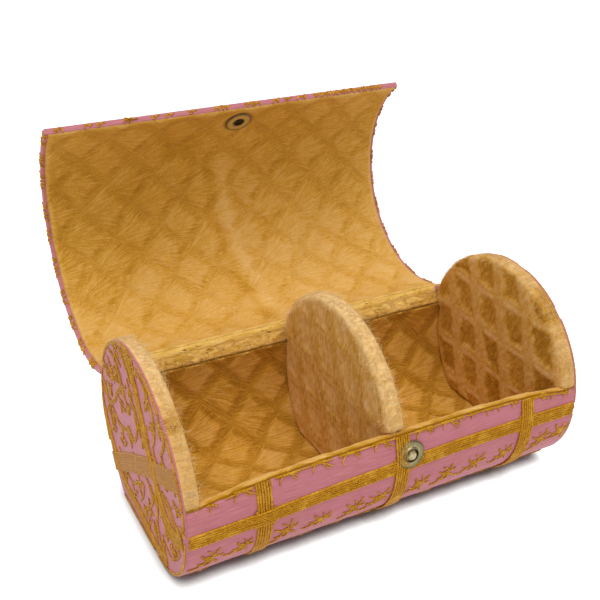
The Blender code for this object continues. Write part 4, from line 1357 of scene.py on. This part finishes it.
back_edge = outside.at[-1] - 0.0006
BACK_LEVELS = (0.062, 0.123)
long_runs = cords([(x, band_level(x)) for x in np.linspace(-SEAM_X, SEAM_X, 30)], BAND_CORDS, 1.0)
for level in BACK_LEVELS:
    long_runs += cords([(-SEAM_X, level), (0, level + 0.001), (SEAM_X, level)], BAND_CORDS, 2.0 + level)
for x in BAND_X:
    for level in (float(band_level(x)), *BACK_LEVELS):
        long_runs += corner_stitches(x, level, 3.0 + 40 * x)
sew("trough_long_bands", long_runs, on_trough_long, "base")
round_runs = []
for number, x in enumerate(BAND_X):
    start = -float(front_top(np.array([x]))[0]) + SATIN_BELOW - 0.0004
    route = [(x - 0.0002, start), (x, 0.0), (x + 0.0003, 0.02), (x, 0.08), (x + 0.0004, 0.13), (x, back_edge)]
    round_runs += cords(route, BAND_CORDS, 11.0 + number)
sew("trough_round_bands", round_runs, on_trough_round, "base")

# %% [markdown]
# ### Stars and ticks
#
# Between the bands there are small hand-sewn stars: a slanting body of two cords with a loop in its
# middle, arms that taper and curl, and a thin stitch that runs on to the next star. Every star is the
# same set of strokes, turned and stretched a little by its own number. Larger and smaller crow's feet
# hang over the front's top edge, with a thread along it.

# %% Stars
STAR_STROKES = (
    (((-4.2, -4.6), (-3.2, -3.6), (-1.4, -1.5), (0.6, 0.4), (2.4, 1.2), (3.8, 2.4), (4.2, 5.2)), 2, 0.5),
    (((-3.8, 3.8), (-3.0, 1.6), (-0.4, 0.2), (1.7, -1.0), (3.2, -2.6), (3.6, -4.6)), 2, 0.5),
    (((-1.8, 0.6), (-0.2, 2.2), (2.0, 1.4), (1.8, -1.2), (-0.3, -2.1), (-2.0, -0.6), (-1.6, 0.8)), 2, 0.1),
    (((-0.8, -1.6), (-2.8, -2.8), (-5.2, -1.4)), 1, 0.3),
    (((1.2, 1.4), (1.2, 3.6), (-0.6, 5.2)), 1, 0.3),
    (((2.6, 1.0), (4.6, 0.0), (6.0, 1.2)), 1, 0.3),
    (((1.4, -1.6), (0.4, -3.2), (-1.6, -4.4)), 1, 0.3),
    (((-4.2, -4.6), (-6.2, -5.6), (-8.4, -5.0)), 1, 0.3),
)


def star(u, v, number, size=1.0, flip=1):
    """The strokes of one star. On the front wall up is towards smaller v, so its rises are turned over."""
    turn = 0.28 * math.sin(number * 2.4)
    grow_right = size * (1 + 0.16 * math.sin(number * 4.1))
    grow_up = size * (1 + 0.14 * math.cos(number * 3.3))
    runs = []
    for index, (stroke, count, taper) in enumerate(STAR_STROKES):
        route = []
        for place, (right, up) in enumerate(stroke):
            sway = 0.5 * math.sin(number * 5.3 + index * 2.2 + place * 1.1)
            across = flip * (right + sway) * MM * grow_right
            down = -(up - sway * 0.6) * MM * grow_up
            route.append((
                u + across * math.cos(turn) - down * math.sin(turn),
                v + across * math.sin(turn) + down * math.cos(turn),
            ))
        runs += cords(route, count, number * 1.7 + index, STITCH_GAP, taper, FINE)
    return runs


FRONT_STARS = (
    (-85, 18.5), (-71, 17.0), (-52, 17.0), (-36, 17.5), (-20, 17.5), (-8, 16.5),
    (12, 16.5), (26, 15.5), (41, 15.0), (57, 15.0), (78, 14.0), (89, 12.5),
)
STAR_PITCH = 0.0155
STAR_COLUMNS = [
    (column, -0.085 + column * STAR_PITCH)
    for column in range(12)
    if min(abs(-0.085 + column * STAR_PITCH - x) for x in BAND_X) > 0.008
]
star_runs = []
for number, (u, v) in enumerate(FRONT_STARS):
    star_runs += star(u * MM, v * MM, number, 0.95)
for row, v in enumerate((0.038, 0.078, 0.098, 0.140)):
    flip = 1 if row % 2 else -1
    for column, u in STAR_COLUMNS:
        star_runs += star(u, v + 0.001 * math.sin(column * 2.1), 20 + row * 12 + column, 1.0, flip)
sew("trough_stars", star_runs, on_trough, "base")

# %% Crow's feet along the front's top edge
LARGE_FEET = (-71.0, -51.5, -37.5, -23.0, -9.0, 12.5, 24.5, 73.0)
SMALL_FEET = (-83.5, 16.5, 31.0, 37.0, 45.5, 51.5, 59.0, 81.0, 88.0)
EDGE_THREADS = ((-78, -66), (-56, -31), (-29, 32), (35, 62), (70, 90))
foot_runs = []


def foot_stroke(u, number, routes):
    """Strokes of a crow's foot, each a list of (right, down) from the satin's edge."""
    edge_s = -float(front_top(np.array([u * MM]))[0]) + SATIN_BELOW - 0.0006
    made = []
    for index, (stroke, count) in enumerate(routes):
        stretch = 1 + 0.2 * math.sin(number * 2.9 + index * 1.7)
        route = [((u + right * stretch) * MM, edge_s + down * stretch * MM) for right, down in stroke]
        made += cords(route, count, number * 0.9 + index, STITCH_GAP, 0.45, FINE)
    return made


for number, u in enumerate(LARGE_FEET):
    foot_runs += foot_stroke(u, number, (
        (((-1.0, 0.0), (-2.2, 1.4), (-3.6, 2.4), (-3.4, 4.4)), 1),
        (((0.2, 0.2), (1.8, 1.2), (3.4, 2.0), (5.4, 3.2)), 1),
        (((1.4, 0.9), (2.2, 2.4), (4.0, 4.0)), 1),
        (((-4.6, 0.6), (-2.6, 0.5), (-0.4, 1.0), (2.0, 0.4), (4.4, 0.8)), 2),
        (((3.0, 0.2), (4.0, 1.4)), 1),
    ))
for number, u in enumerate(SMALL_FEET):
    foot_runs += foot_stroke(u, 20 + number, (
        (((-1.2, 0.0), (-0.4, 1.2), (-0.8, 3.0)), 1), (((0.0, 0.6), (1.0, 1.2), (2.4, 1.5)), 1),
        (((-2.8, 0.5), (-0.6, 0.8), (1.6, 0.4)), 1),
    ))
for number, (first, last) in enumerate(EDGE_THREADS):
    places = np.linspace(first, last, 12) * MM
    edge_line = -front_top(places) + SATIN_BELOW + 0.0001
    foot_runs += cords(list(zip(places, edge_line)), 1, 8.0 + number, STITCH_GAP, 0.1, FINE)
sew("trough_ticks", foot_runs, on_trough, "base")

# %% [markdown]
# ### The ends
#
# The left end shows best. A gold band comes down from the top and bends to the front, over a flat band
# of tan silk, and more gold fills the lower back edge. Stars and twigs fill the rest, and the rim is
# whipped in stretches. The routes below are places (y, z) on the end, in millimetres, and a twig is its
# root, heading in degrees and length. The right end gets the same pattern, because the photograph
# doesn't show it.

# %% End embroidery
END_GOLD = (
    (
        (
            (8, 93), (3, 86), (-3, 78), (-8, 67), (-12, 56), (-18, 47), (-23, 39), (-29, 32), (-37, 29.5),
            (-49, 33),
        ), 6, 0.0,
    ),
    (((54, 44), (49, 33), (42, 24), (34, 14), (24, 9), (10, 9), (-2, 7), (-14, 5), (-27, 7)), 5, 0.0),
    (((52, 50), (44, 48), (37, 47), (30, 53), (26, 59), (18, 66), (11, 70)), 3, 0.3),
    (((43, 46), (36, 46), (27, 42), (18, 44), (12, 50), (7, 45), (2, 50), (-1, 57), (2, 62)), 3, 0.5),
    (((33, 77), (27, 78), (22, 75), (17, 70), (16, 62)), 3, 0.5),
    (((22, 88), (17, 87), (12, 84), (6, 81), (3, 76)), 2, 0.4),
    (((30, 82), (24, 86), (19, 84)), 4, 0.6),
    (((46, 62), (40, 64), (35, 60), (28, 66)), 2, 0.6),
    (((-6, 88), (-12, 86), (-18, 82), (-24, 77), (-24, 68), (-21, 61)), 3, 0.5),
    (((-14, 90), (-20, 84), (-17, 78)), 2, 0.7),
    (((-28, 83), (-31, 77), (-36, 73), (-32, 65), (-28, 61)), 3, 0.6),
    (((-38, 76), (-40, 70), (-44, 68)), 2, 0.6),
    (((-27, 43), (-34, 40), (-40, 36), (-47, 36)), 5, 0.4),
    (((-26, 27), (-34, 25), (-44, 27)), 4, 0.5),
    (((22, 20), (14, 18), (9, 22), (3, 27), (-3, 30), (-1, 22), (5, 15)), 2, 0.6),
    (((-6, 37), (-12, 34), (-15, 30), (-10, 23), (-4, 17)), 2, 0.6),
    (((-18, 42), (-20, 30), (-17, 20), (-20, 12), (-26, 8)), 3, 0.3),
    (((-26, 16), (-33, 13), (-38, 17), (-43, 22)), 2, 0.6),
    (((28, 34), (22, 33), (18, 38)), 2, 0.6),
)
END_SILK = ((46, 10), (39, 14), (17, 28), (-11, 44), (-33, 54), (-52, 63))
END_STARS = (
    (36, 55, 0.6), (-33, 50, 0.45), (10, 60, 0.55), (-2, 15, 0.6), (-36, 20, 0.5), (0, 88, 0.5),
    (24, 70, 0.5),
)
END_MARGIN = 0.0006
EDGE_STRETCHES = ((10, 120), (128, 210), (262, 345), (352, 470), (480, 530), (540, 640))
END_TWIGS = (
    (14, 92, 250, 13), (-2, 91, 255, 10), (26, 86, 245, 12), (36, 72, 200, 11), (44, 66, 215, 9),
    (50, 55, 190, 10), (26, 59, 215, 11), (30, 66, 160, 8), (20, 70, 235, 10), (8, 76, 250, 10),
    (4, 70, 235, 9), (-1, 64, 250, 9), (12, 50, 260, 9), (22, 44, 285, 9), (33, 46, 300, 10),
    (42, 30, 130, 10), (46, 38, 160, 9), (34, 18, 120, 11), (24, 12, 115, 10), (14, 10, 100, 9),
    (-10, 58, 320, 8), (-24, 74, 300, 10), (-30, 80, 275, 9), (-17, 84, 280, 10), (-40, 62, 250, 9),
    (-30, 64, 265, 9), (-20, 60, 250, 8), (-14, 66, 285, 8), (-40, 48, 200, 8), (-32, 44, 215, 8),
    (-22, 34, 250, 9), (-28, 28, 235, 8), (-38, 30, 250, 8), (-6, 8, 80, 10), (-16, 8, 95, 9), (2, 20, 60, 9),
    (-12, 36, 230, 9), (-8, 26, 265, 9), (12, 30, 320, 8), (-26, 10, 75, 8), (4, 40, 300, 7),
    (-46, 40, 190, 6),
)


def twig(u, v, heading, length, number):
    """A main stroke with a curl and two short branches, heading given in degrees."""
    turn = math.radians(heading + 14 * math.sin(number * 2.7))
    ahead = np.array((math.cos(turn), math.sin(turn)))
    aside = np.array((-ahead[1], ahead[0])) * (1 if number % 2 else -1)
    root = np.array((u, v))
    parts = (
        (((0, 0), (0.3, 0.05), (0.65, -0.04), (1.0, 0.16)), 2),
        (((0.35, 0.0), (0.5, 0.22), (0.8, 0.34)), 1),
        (((0.5, 0.0), (0.66, -0.2), (0.72, -0.42)), 1),
        (((0.7, 0.0), (0.86, 0.2), (1.1, 0.3)), 1),
    )
    made = []
    for index, (part, count) in enumerate(parts):
        route = [root + (ahead * forward + aside * sideways) * length for forward, sideways in part]
        made += cords(route, count, 130.0 + number * 1.3 + index, STITCH_GAP, 0.55, FINE)
    return made


def end_embroidery(side_name, side):
    """The gold cords and the silk band of one end."""
    def on_end(u, v, height):
        angle = np.arctan2(v - RISE, u)
        far = np.hypot(u, v - RISE)
        shrink = np.minimum(1, reach(closed_line(END_MARGIN), angle) / far)
        return np.stack([side * (END_X + height + 0 * u), u * shrink, RISE + (v - RISE) * shrink], -1)

    runs = []
    for number, (route, count, taper) in enumerate(END_GOLD):
        whole = taper == 0
        gap, thick = (CORD_GAP * 0.9, 0.9) if whole else (STITCH_GAP, FINE)
        runs += cords([np.array(point) * MM for point in route], count, 60.0 + number, gap, taper, thick)
    for number, (u, v, size) in enumerate(END_STARS):
        runs += star(u * MM, v * MM, 70 + number, size)
    for number, (u, v, heading, length) in enumerate(END_TWIGS):
        runs += twig(u * MM, v * MM, heading, length * MM, number)
    edge = closed_line(END_MARGIN)
    for first, last in EDGE_STRETCHES:
        runs += cords(edge[first:last:4], 3, 99.0 + first, STITCH_GAP, 0.4, FINE)
    sew(side_name + "_end_gold", runs, on_end, "base", lift=0.0002)
    silk = cords([np.array(point) * MM for point in END_SILK], 11, 90.0, CORD_GAP * 0.72)
    sew(side_name + "_end_silk", silk, on_end, "base", lift=0.00005, material=tan_silk)


end_embroidery("left", -1)
end_embroidery("right", 1)

# %% [markdown]
# ### The lid
#
# The lid's outside isn't in the photograph, so it continues the trough's bands and stars. What does
# show are the stitches that cross its edges: single ones, clusters and a long run on the right. At the
# free edge one thread's loose end sticks out.

# %% Lid embroidery
def on_lid(u, v, height):
    """Cord places on the lid's outside."""
    return lid_outside.place(u, v, height)


BAND_IN, BAND_START = 0.0006, 0.0032
lid_runs = []
for level in (0.026, 0.084, 0.142):
    route = [(-END_X + BAND_IN, level), (0, level + 0.001), (END_X - BAND_IN, level)]
    lid_runs += cords(route, BAND_CORDS, 31.0 + level)
sew("lid_long_bands", lid_runs, on_lid, "lid")
lid_runs = []
for number, x in enumerate(BAND_X):
    route = [(x, BAND_START), (x + 0.0004, 0.05), (x, 0.11), (x + 0.0003, LID_GIRTH - BAND_IN)]
    lid_runs += cords(route, BAND_CORDS, 41.0 + number)
sew("lid_round_bands", lid_runs, on_lid, "lid", lift=0.00062)
star_runs = []
for row, v in enumerate((0.010, 0.045, 0.065, 0.103, 0.123, 0.158)):
    for column, u in STAR_COLUMNS:
        star_runs += star(u, v + 0.001 * math.sin(column * 1.9), 90 + row * 12 + column, 0.95)
sew("lid_stars", star_runs, on_lid, "lid")

# %% Cords over the lid's edges
def on_lid_side(side):
    """Places on an end edge of the lid: u runs across it and over the inner face, v along the section."""
    def place(u, v, height):
        past = np.maximum(u - EDGE_SATIN, 0)
        level = np.minimum(u, EDGE_SATIN) + 0.0003 * smooth(past, 0, 0.0005)
        return lid_outside.place(side * (END_X + height - past), v, -level)
    return place


def on_lid_front(u, v, height):
    """Places on the lid's free edge: v runs across its thickness."""
    base = lid_outside.place(u, 0 * u, -v)
    ahead = lid_outside.place(u, 0 * u + 0.001, -v) - base
    return base - ahead / np.linalg.norm(ahead, axis=1, keepdims=True) * height


def edge_stitches(stretches, seed, over=0.0):
    """Stitches over an edge. A stretch is where it starts and ends along the edge, in millimetres."""
    runs = []
    for number, (first, last) in enumerate(stretches):
        count = max(2, round((last - first) / 1.15))
        for index in range(count):
            at = (first + (last - first) * index / max(1, count - 1)) * MM
            lean = 0.9 * math.sin(seed + number * 3.1 + index * 2.3) * MM
            start = 0.0001 + 0.0007 * (math.sin(seed + index * 4.7) > 0.3)
            end = EDGE_SATIN + over - 0.0002 - 0.0008 * (math.cos(seed + index * 3.9) > 0.4)
            route = [(start, at - lean), ((start + end) / 2, at + lean * 0.3), (end, at + lean)]
            runs += cords(route, 1, seed + number + index * 1.9, STITCH_GAP, 0.15, 0.85)
            if index % 3 == 1:
                cross = [(end * 0.5, at - 0.0016), (end * 0.62, at), (end * 0.45, at + 0.0019)]
                runs += cords(cross, 1, seed + index, STITCH_GAP, 0.4, FINE)
    return runs


SIDE_STRETCHES = (
    (2, 4), (9, 11), (21, 28), (34, 36), (39, 42), (52, 60), (66, 72), (81, 90), (99, 106), (114, 122),
    (131, 140), (150, 158),
)
FREE_STRETCHES = (
    (-90, -87), (-76, -74), (-70, -68), (-57, -54), (-43, -41), (-36, -34), (-24, -22), (-11, -4),
    (6, 13), (21, 24), (28, 30), (35, 39), (45, 58), (59, 70), (71, 84),
)
OVER_FACE = 0.0014
for side, side_name in ((-1, "left"), (1, "right")):
    side_runs = edge_stitches(SIDE_STRETCHES, 5.0 + side, over=OVER_FACE)
    sew("lid_edge_cords_" + side_name, side_runs, on_lid_side(side), "lid", lift=0.00005)
front_runs = [
    (np.stack([line[:, 1], line[:, 0]], -1), turn, thick)
    for line, turn, thick in edge_stitches(FREE_STRETCHES, 9.0)
]
sew("lid_edge_cords_front", front_runs, on_lid_front, "lid", lift=0.0001)
LOOSE_END = ((-50.5, 0.1), (-53.5, 0.3), (-55.5, 1.2), (-57.5, 2.9))


def off_lid_front(u, v, height):
    """Places past the lid's free edge: v is the distance from it."""
    down = 0 * u + 0.0012
    base = on_lid_front(u, down, 0.0)
    return base + (on_lid_front(u, down, 1.0) - base) * (v + height)[:, None]


loose_runs = cords(np.array(LOOSE_END) * MM, 2, 5.0, STITCH_GAP, 0.4, FINE)
sew("lid_loose_end", loose_runs, off_lid_front, "lid")

# %% [markdown]
# ## Loose hairs
#
# Where velvet turns over an edge its pile stands up, and single hairs lie about on the flat parts. Each
# hair is a thin tapered curve of four points with a square section, a few dozen faces, and all the
# hairs of one piece become one mesh. A seeded generator places them, so every run gives the same hairs.

# %% Hair maker
HAIR_R = 0.00005
HAIR_TAPER = (1.0, 0.9, 0.6, 0.25)


def grow_hairs(name, roots, out, side, lengths, material, body, seed, stand=0.35):
    """Hairs at roots, leaning out of the surface by the share stand and curling sideways."""
    chance = np.random.default_rng(seed)
    count = len(roots)
    turn = chance.uniform(0, 2 * math.pi, count)
    third = np.cross(out, side)
    lie = side * np.cos(turn)[:, None] + third * np.sin(turn)[:, None]
    bend = side * np.sin(turn)[:, None] - third * np.cos(turn)[:, None]
    rise = chance.uniform(0.1, 1.0, count) * stand
    curl = chance.normal(0, 0.45, count)
    length = chance.uniform(*lengths, count)
    curve = new_curve(name)
    curve.bevel_depth = HAIR_R
    curve.bevel_resolution = 0
    shares = np.array([0.0, 0.35, 0.7, 1.0])
    for index in range(count):
        along = shares[:, None] * length[index]
        spots = roots[index] + lie[index] * along + bend[index] * curl[index] * along * shares[:, None]
        spots = spots + out[index] * (rise[index] * length[index] * np.sin(shares * 2.2)[:, None] + 0.00005)
        add_run(curve, spots, HAIR_TAPER, np.zeros(len(shares)))
    made_mesh(curve, material, body)


# %% Hairs on the rims of the discs
def rim_hairs(name, half_x, rim_r, first_angle, last_angle, count, seed, centre_x):
    """Hairs over a round rim that runs along X from -half_x to half_x about centre_x."""
    chance = np.random.default_rng(seed)
    angle = chance.uniform(first_angle, last_angle, count)
    across = chance.uniform(-1, 1, count)
    radius = rim_r - 0.0032 * np.abs(across) ** 6
    roots = np.stack([centre_x + across * half_x, radius * np.cos(angle), RISE + radius * np.sin(angle)], -1)
    out = np.stack([0.6 * across**5, np.cos(angle), np.sin(angle)], -1)
    out /= np.linalg.norm(out, axis=1, keepdims=True)
    side = np.stack([0 * angle, -np.sin(angle), np.cos(angle)], -1)
    grow_hairs(name, roots, out, side, (0.0016, 0.0046), rim_hair, "base", seed + 1, 0.22)


front_angle = math.pi - math.asin((FRONT_END_Z - RISE) / SECTION_R)
pad_middle = (PAD_X + PAD_RIM_X) / 2
PAD_HALF, PAD_HAIR_R, PAD_HAIRS = 0.0038, 0.0519, 1500
rim_hairs("left_rim_hairs", PAD_HALF, PAD_HAIR_R, back_angle, front_angle, PAD_HAIRS, 1, -pad_middle)
rim_hairs("right_rim_hairs", PAD_HALF, PAD_HAIR_R, back_angle, front_angle, PAD_HAIRS, 2, pad_middle)
divider_start, divider_end, DIVIDER_HAIRS = math.radians(22), math.radians(163), 1700
rim_hairs(
    "divider_hairs", SLEEVE_X + 0.0002, SLEEVE_TOP_R, divider_start, divider_end, DIVIDER_HAIRS, 3, 0.0
)

# %% Hairs on the strip and the flat velvet
STRIP_HAIRS, LID_HAIRS, TROUGH_HAIRS = 1300, 1600, 1200
LYING_HEIGHT = 0.0003
chance = np.random.default_rng(11)
strip_share = chance.uniform(0, 1, STRIP_HAIRS)
strip_rise = bow.max() * np.sin(strip_share * math.pi) ** 0.5
strip_place = STRIP_FOOT + slope * strip_share[:, None] + slope_out * strip_rise[:, None]
root_x = chance.uniform(-STRIP_X + 0.002, STRIP_X - 0.002, STRIP_HAIRS)
strip_roots = np.stack([root_x, strip_place[:, 0], strip_place[:, 1]], -1)
strip_out = np.tile([0.0, slope_out[0], slope_out[1]], (STRIP_HAIRS, 1))
strip_side = np.tile([1.0, 0.0, 0.0], (STRIP_HAIRS, 1))
grow_hairs(
    "strip_hairs", strip_roots, strip_out, strip_side, (0.0015, 0.0042), hair, "base", 12, 0.3
)


def lying_hairs(name, rail, half_x, s_range, count, body, seed):
    """Hairs that lie on a sheet along a rail."""
    chance = np.random.default_rng(seed)
    x, s = chance.uniform(-half_x, half_x, count), chance.uniform(*s_range, count)
    roots = rail.place(x, s, LYING_HEIGHT)
    out = rail.place(x, s, LYING_HEIGHT + 0.001) - roots
    out /= np.linalg.norm(out, axis=1, keepdims=True)
    side = np.tile([1.0, 0.0, 0.0], (count, 1))
    grow_hairs(name, roots, out, side, (0.0020, 0.0060), hair, body, seed + 1, 0.08)


lid_range = (0.002, LID_INNER_GIRTH - 0.002)
trough_range = (-0.008, float(inside.at[-1]) - 0.004)
lying_hairs("lid_hairs", lid_inside, 0.092, lid_range, LID_HAIRS, "lid", 21)
lying_hairs("trough_hairs", inside, 0.084, trough_range, TROUGH_HAIRS, "base", 23)

# %% [markdown]
# ## Floor, light and camera
#
# The floor and the background are white to the camera: there the floor is part its own white and part a
# plain white glow. The glow fades where the floor lies close under the box, which keeps the narrow dark
# shadow of the photograph on a floor that is white all over. A sun with a wide disc, as a big softbox
# overhead, and an even world light the cloth at a plain level. The camera stands where the photograph
# was taken from.

# %% Floor
FLOOR_SIZE = 6
FLOOR_WHITE, FLOOR_SEEN = (0.93, 0.93, 0.93, 1), (0.40, 0.40, 0.40, 1)
FLOOR_GLOW = 1.05
SHADOW_REACH = 0.0075
SHADOW_SHARES = (0.35, 0.90)


def seen_directly(tree):
    """1 on rays from the camera, also by way of a mirror or glass, and 0 on all others."""
    path = tree.nodes.new("ShaderNodeLightPath")
    seen = path.outputs["Is Camera Ray"]
    for kind in ("Is Glossy Ray", "Is Transmission Ray"):
        either = tree.nodes.new("ShaderNodeMath")
        either.operation = "MAXIMUM"
        tree.links.new(seen, either.inputs[0])
        tree.links.new(path.outputs[kind], either.inputs[1])
        seen = either.outputs[0]
    return seen


bpy.ops.object.select_all(action="DESELECT")
bpy.ops.mesh.primitive_plane_add(size=FLOOR_SIZE)
floor = bpy.context.object
floor.name = "floor"
floor_recipe = Recipe("white_floor", Roughness=0.9)
direct = seen_directly(floor_recipe.tree)
floor_colour = floor_recipe.blend(direct, FLOOR_WHITE, FLOOR_SEEN)
floor_recipe.put(floor_recipe.shader.inputs["Base Color"], floor_colour)
nook = floor_recipe.add("AmbientOcclusion", samples=16)
nook.inputs["Distance"].default_value = SHADOW_REACH
open_share = floor_recipe.span(nook.outputs["AO"], *SHADOW_SHARES)
glow_share = floor_recipe.maths("MULTIPLY", direct, open_share)
glow = floor_recipe.add("Emission", (1, 1, 1, 1), floor_recipe.maths("MULTIPLY", glow_share, FLOOR_GLOW))
mixed = floor_recipe.add("AddShader")
floor_recipe.put(mixed.inputs[0], floor_recipe.shader.outputs[0])
floor_recipe.put(mixed.inputs[1], glow.outputs[0])
floor_recipe.put(floor_recipe.tree.nodes["Material Output"].inputs["Surface"], mixed.outputs[0])
floor.data.materials.append(floor_recipe.material)

# %% Light
AMBIENT = 0.5
SUN_POWER = 1.9
SUN_TRAVEL = (0.05, 0.25, -1.0)
SUN_DISC = math.radians(60)
world = bpy.data.worlds.new("studio")
bpy.context.scene.world = world
world.use_nodes = True
background = world.node_tree.nodes["Background"]
background.inputs["Color"].default_value = (1, 1, 1, 1)
strength = world.node_tree.nodes.new("ShaderNodeMapRange")
strength.inputs["To Min"].default_value = AMBIENT
strength.inputs["To Max"].default_value = 1.0
world.node_tree.links.new(seen_directly(world.node_tree), strength.inputs["Value"])
world.node_tree.links.new(strength.outputs["Result"], background.inputs["Strength"])
softbox = bpy.data.lights.new("softbox", "SUN")
softbox.energy = SUN_POWER
softbox.angle = SUN_DISC
softbox_object = bpy.data.objects.new("softbox", softbox)
bpy.context.scene.collection.objects.link(softbox_object)
softbox_object.rotation_euler = Vector(SUN_TRAVEL).to_track_quat("-Z", "Y").to_euler()

# %% Camera
LENS_MM, SENSOR_MM = 55.73, 36
CAMERA_PLACE = (-0.18111, -0.31052, 0.27618)
CAMERA_TURN = (math.radians(62.984), 0, math.radians(-27.462))
camera_data = bpy.data.cameras.new("camera")
camera_data.lens = LENS_MM
camera_data.sensor_width = SENSOR_MM
camera = bpy.data.objects.new("camera", camera_data)
bpy.context.scene.collection.objects.link(camera)
camera.location = CAMERA_PLACE
camera.rotation_euler = CAMERA_TURN
bpy.context.scene.camera = camera
bpy.context.scene.view_settings.view_transform = "Standard"
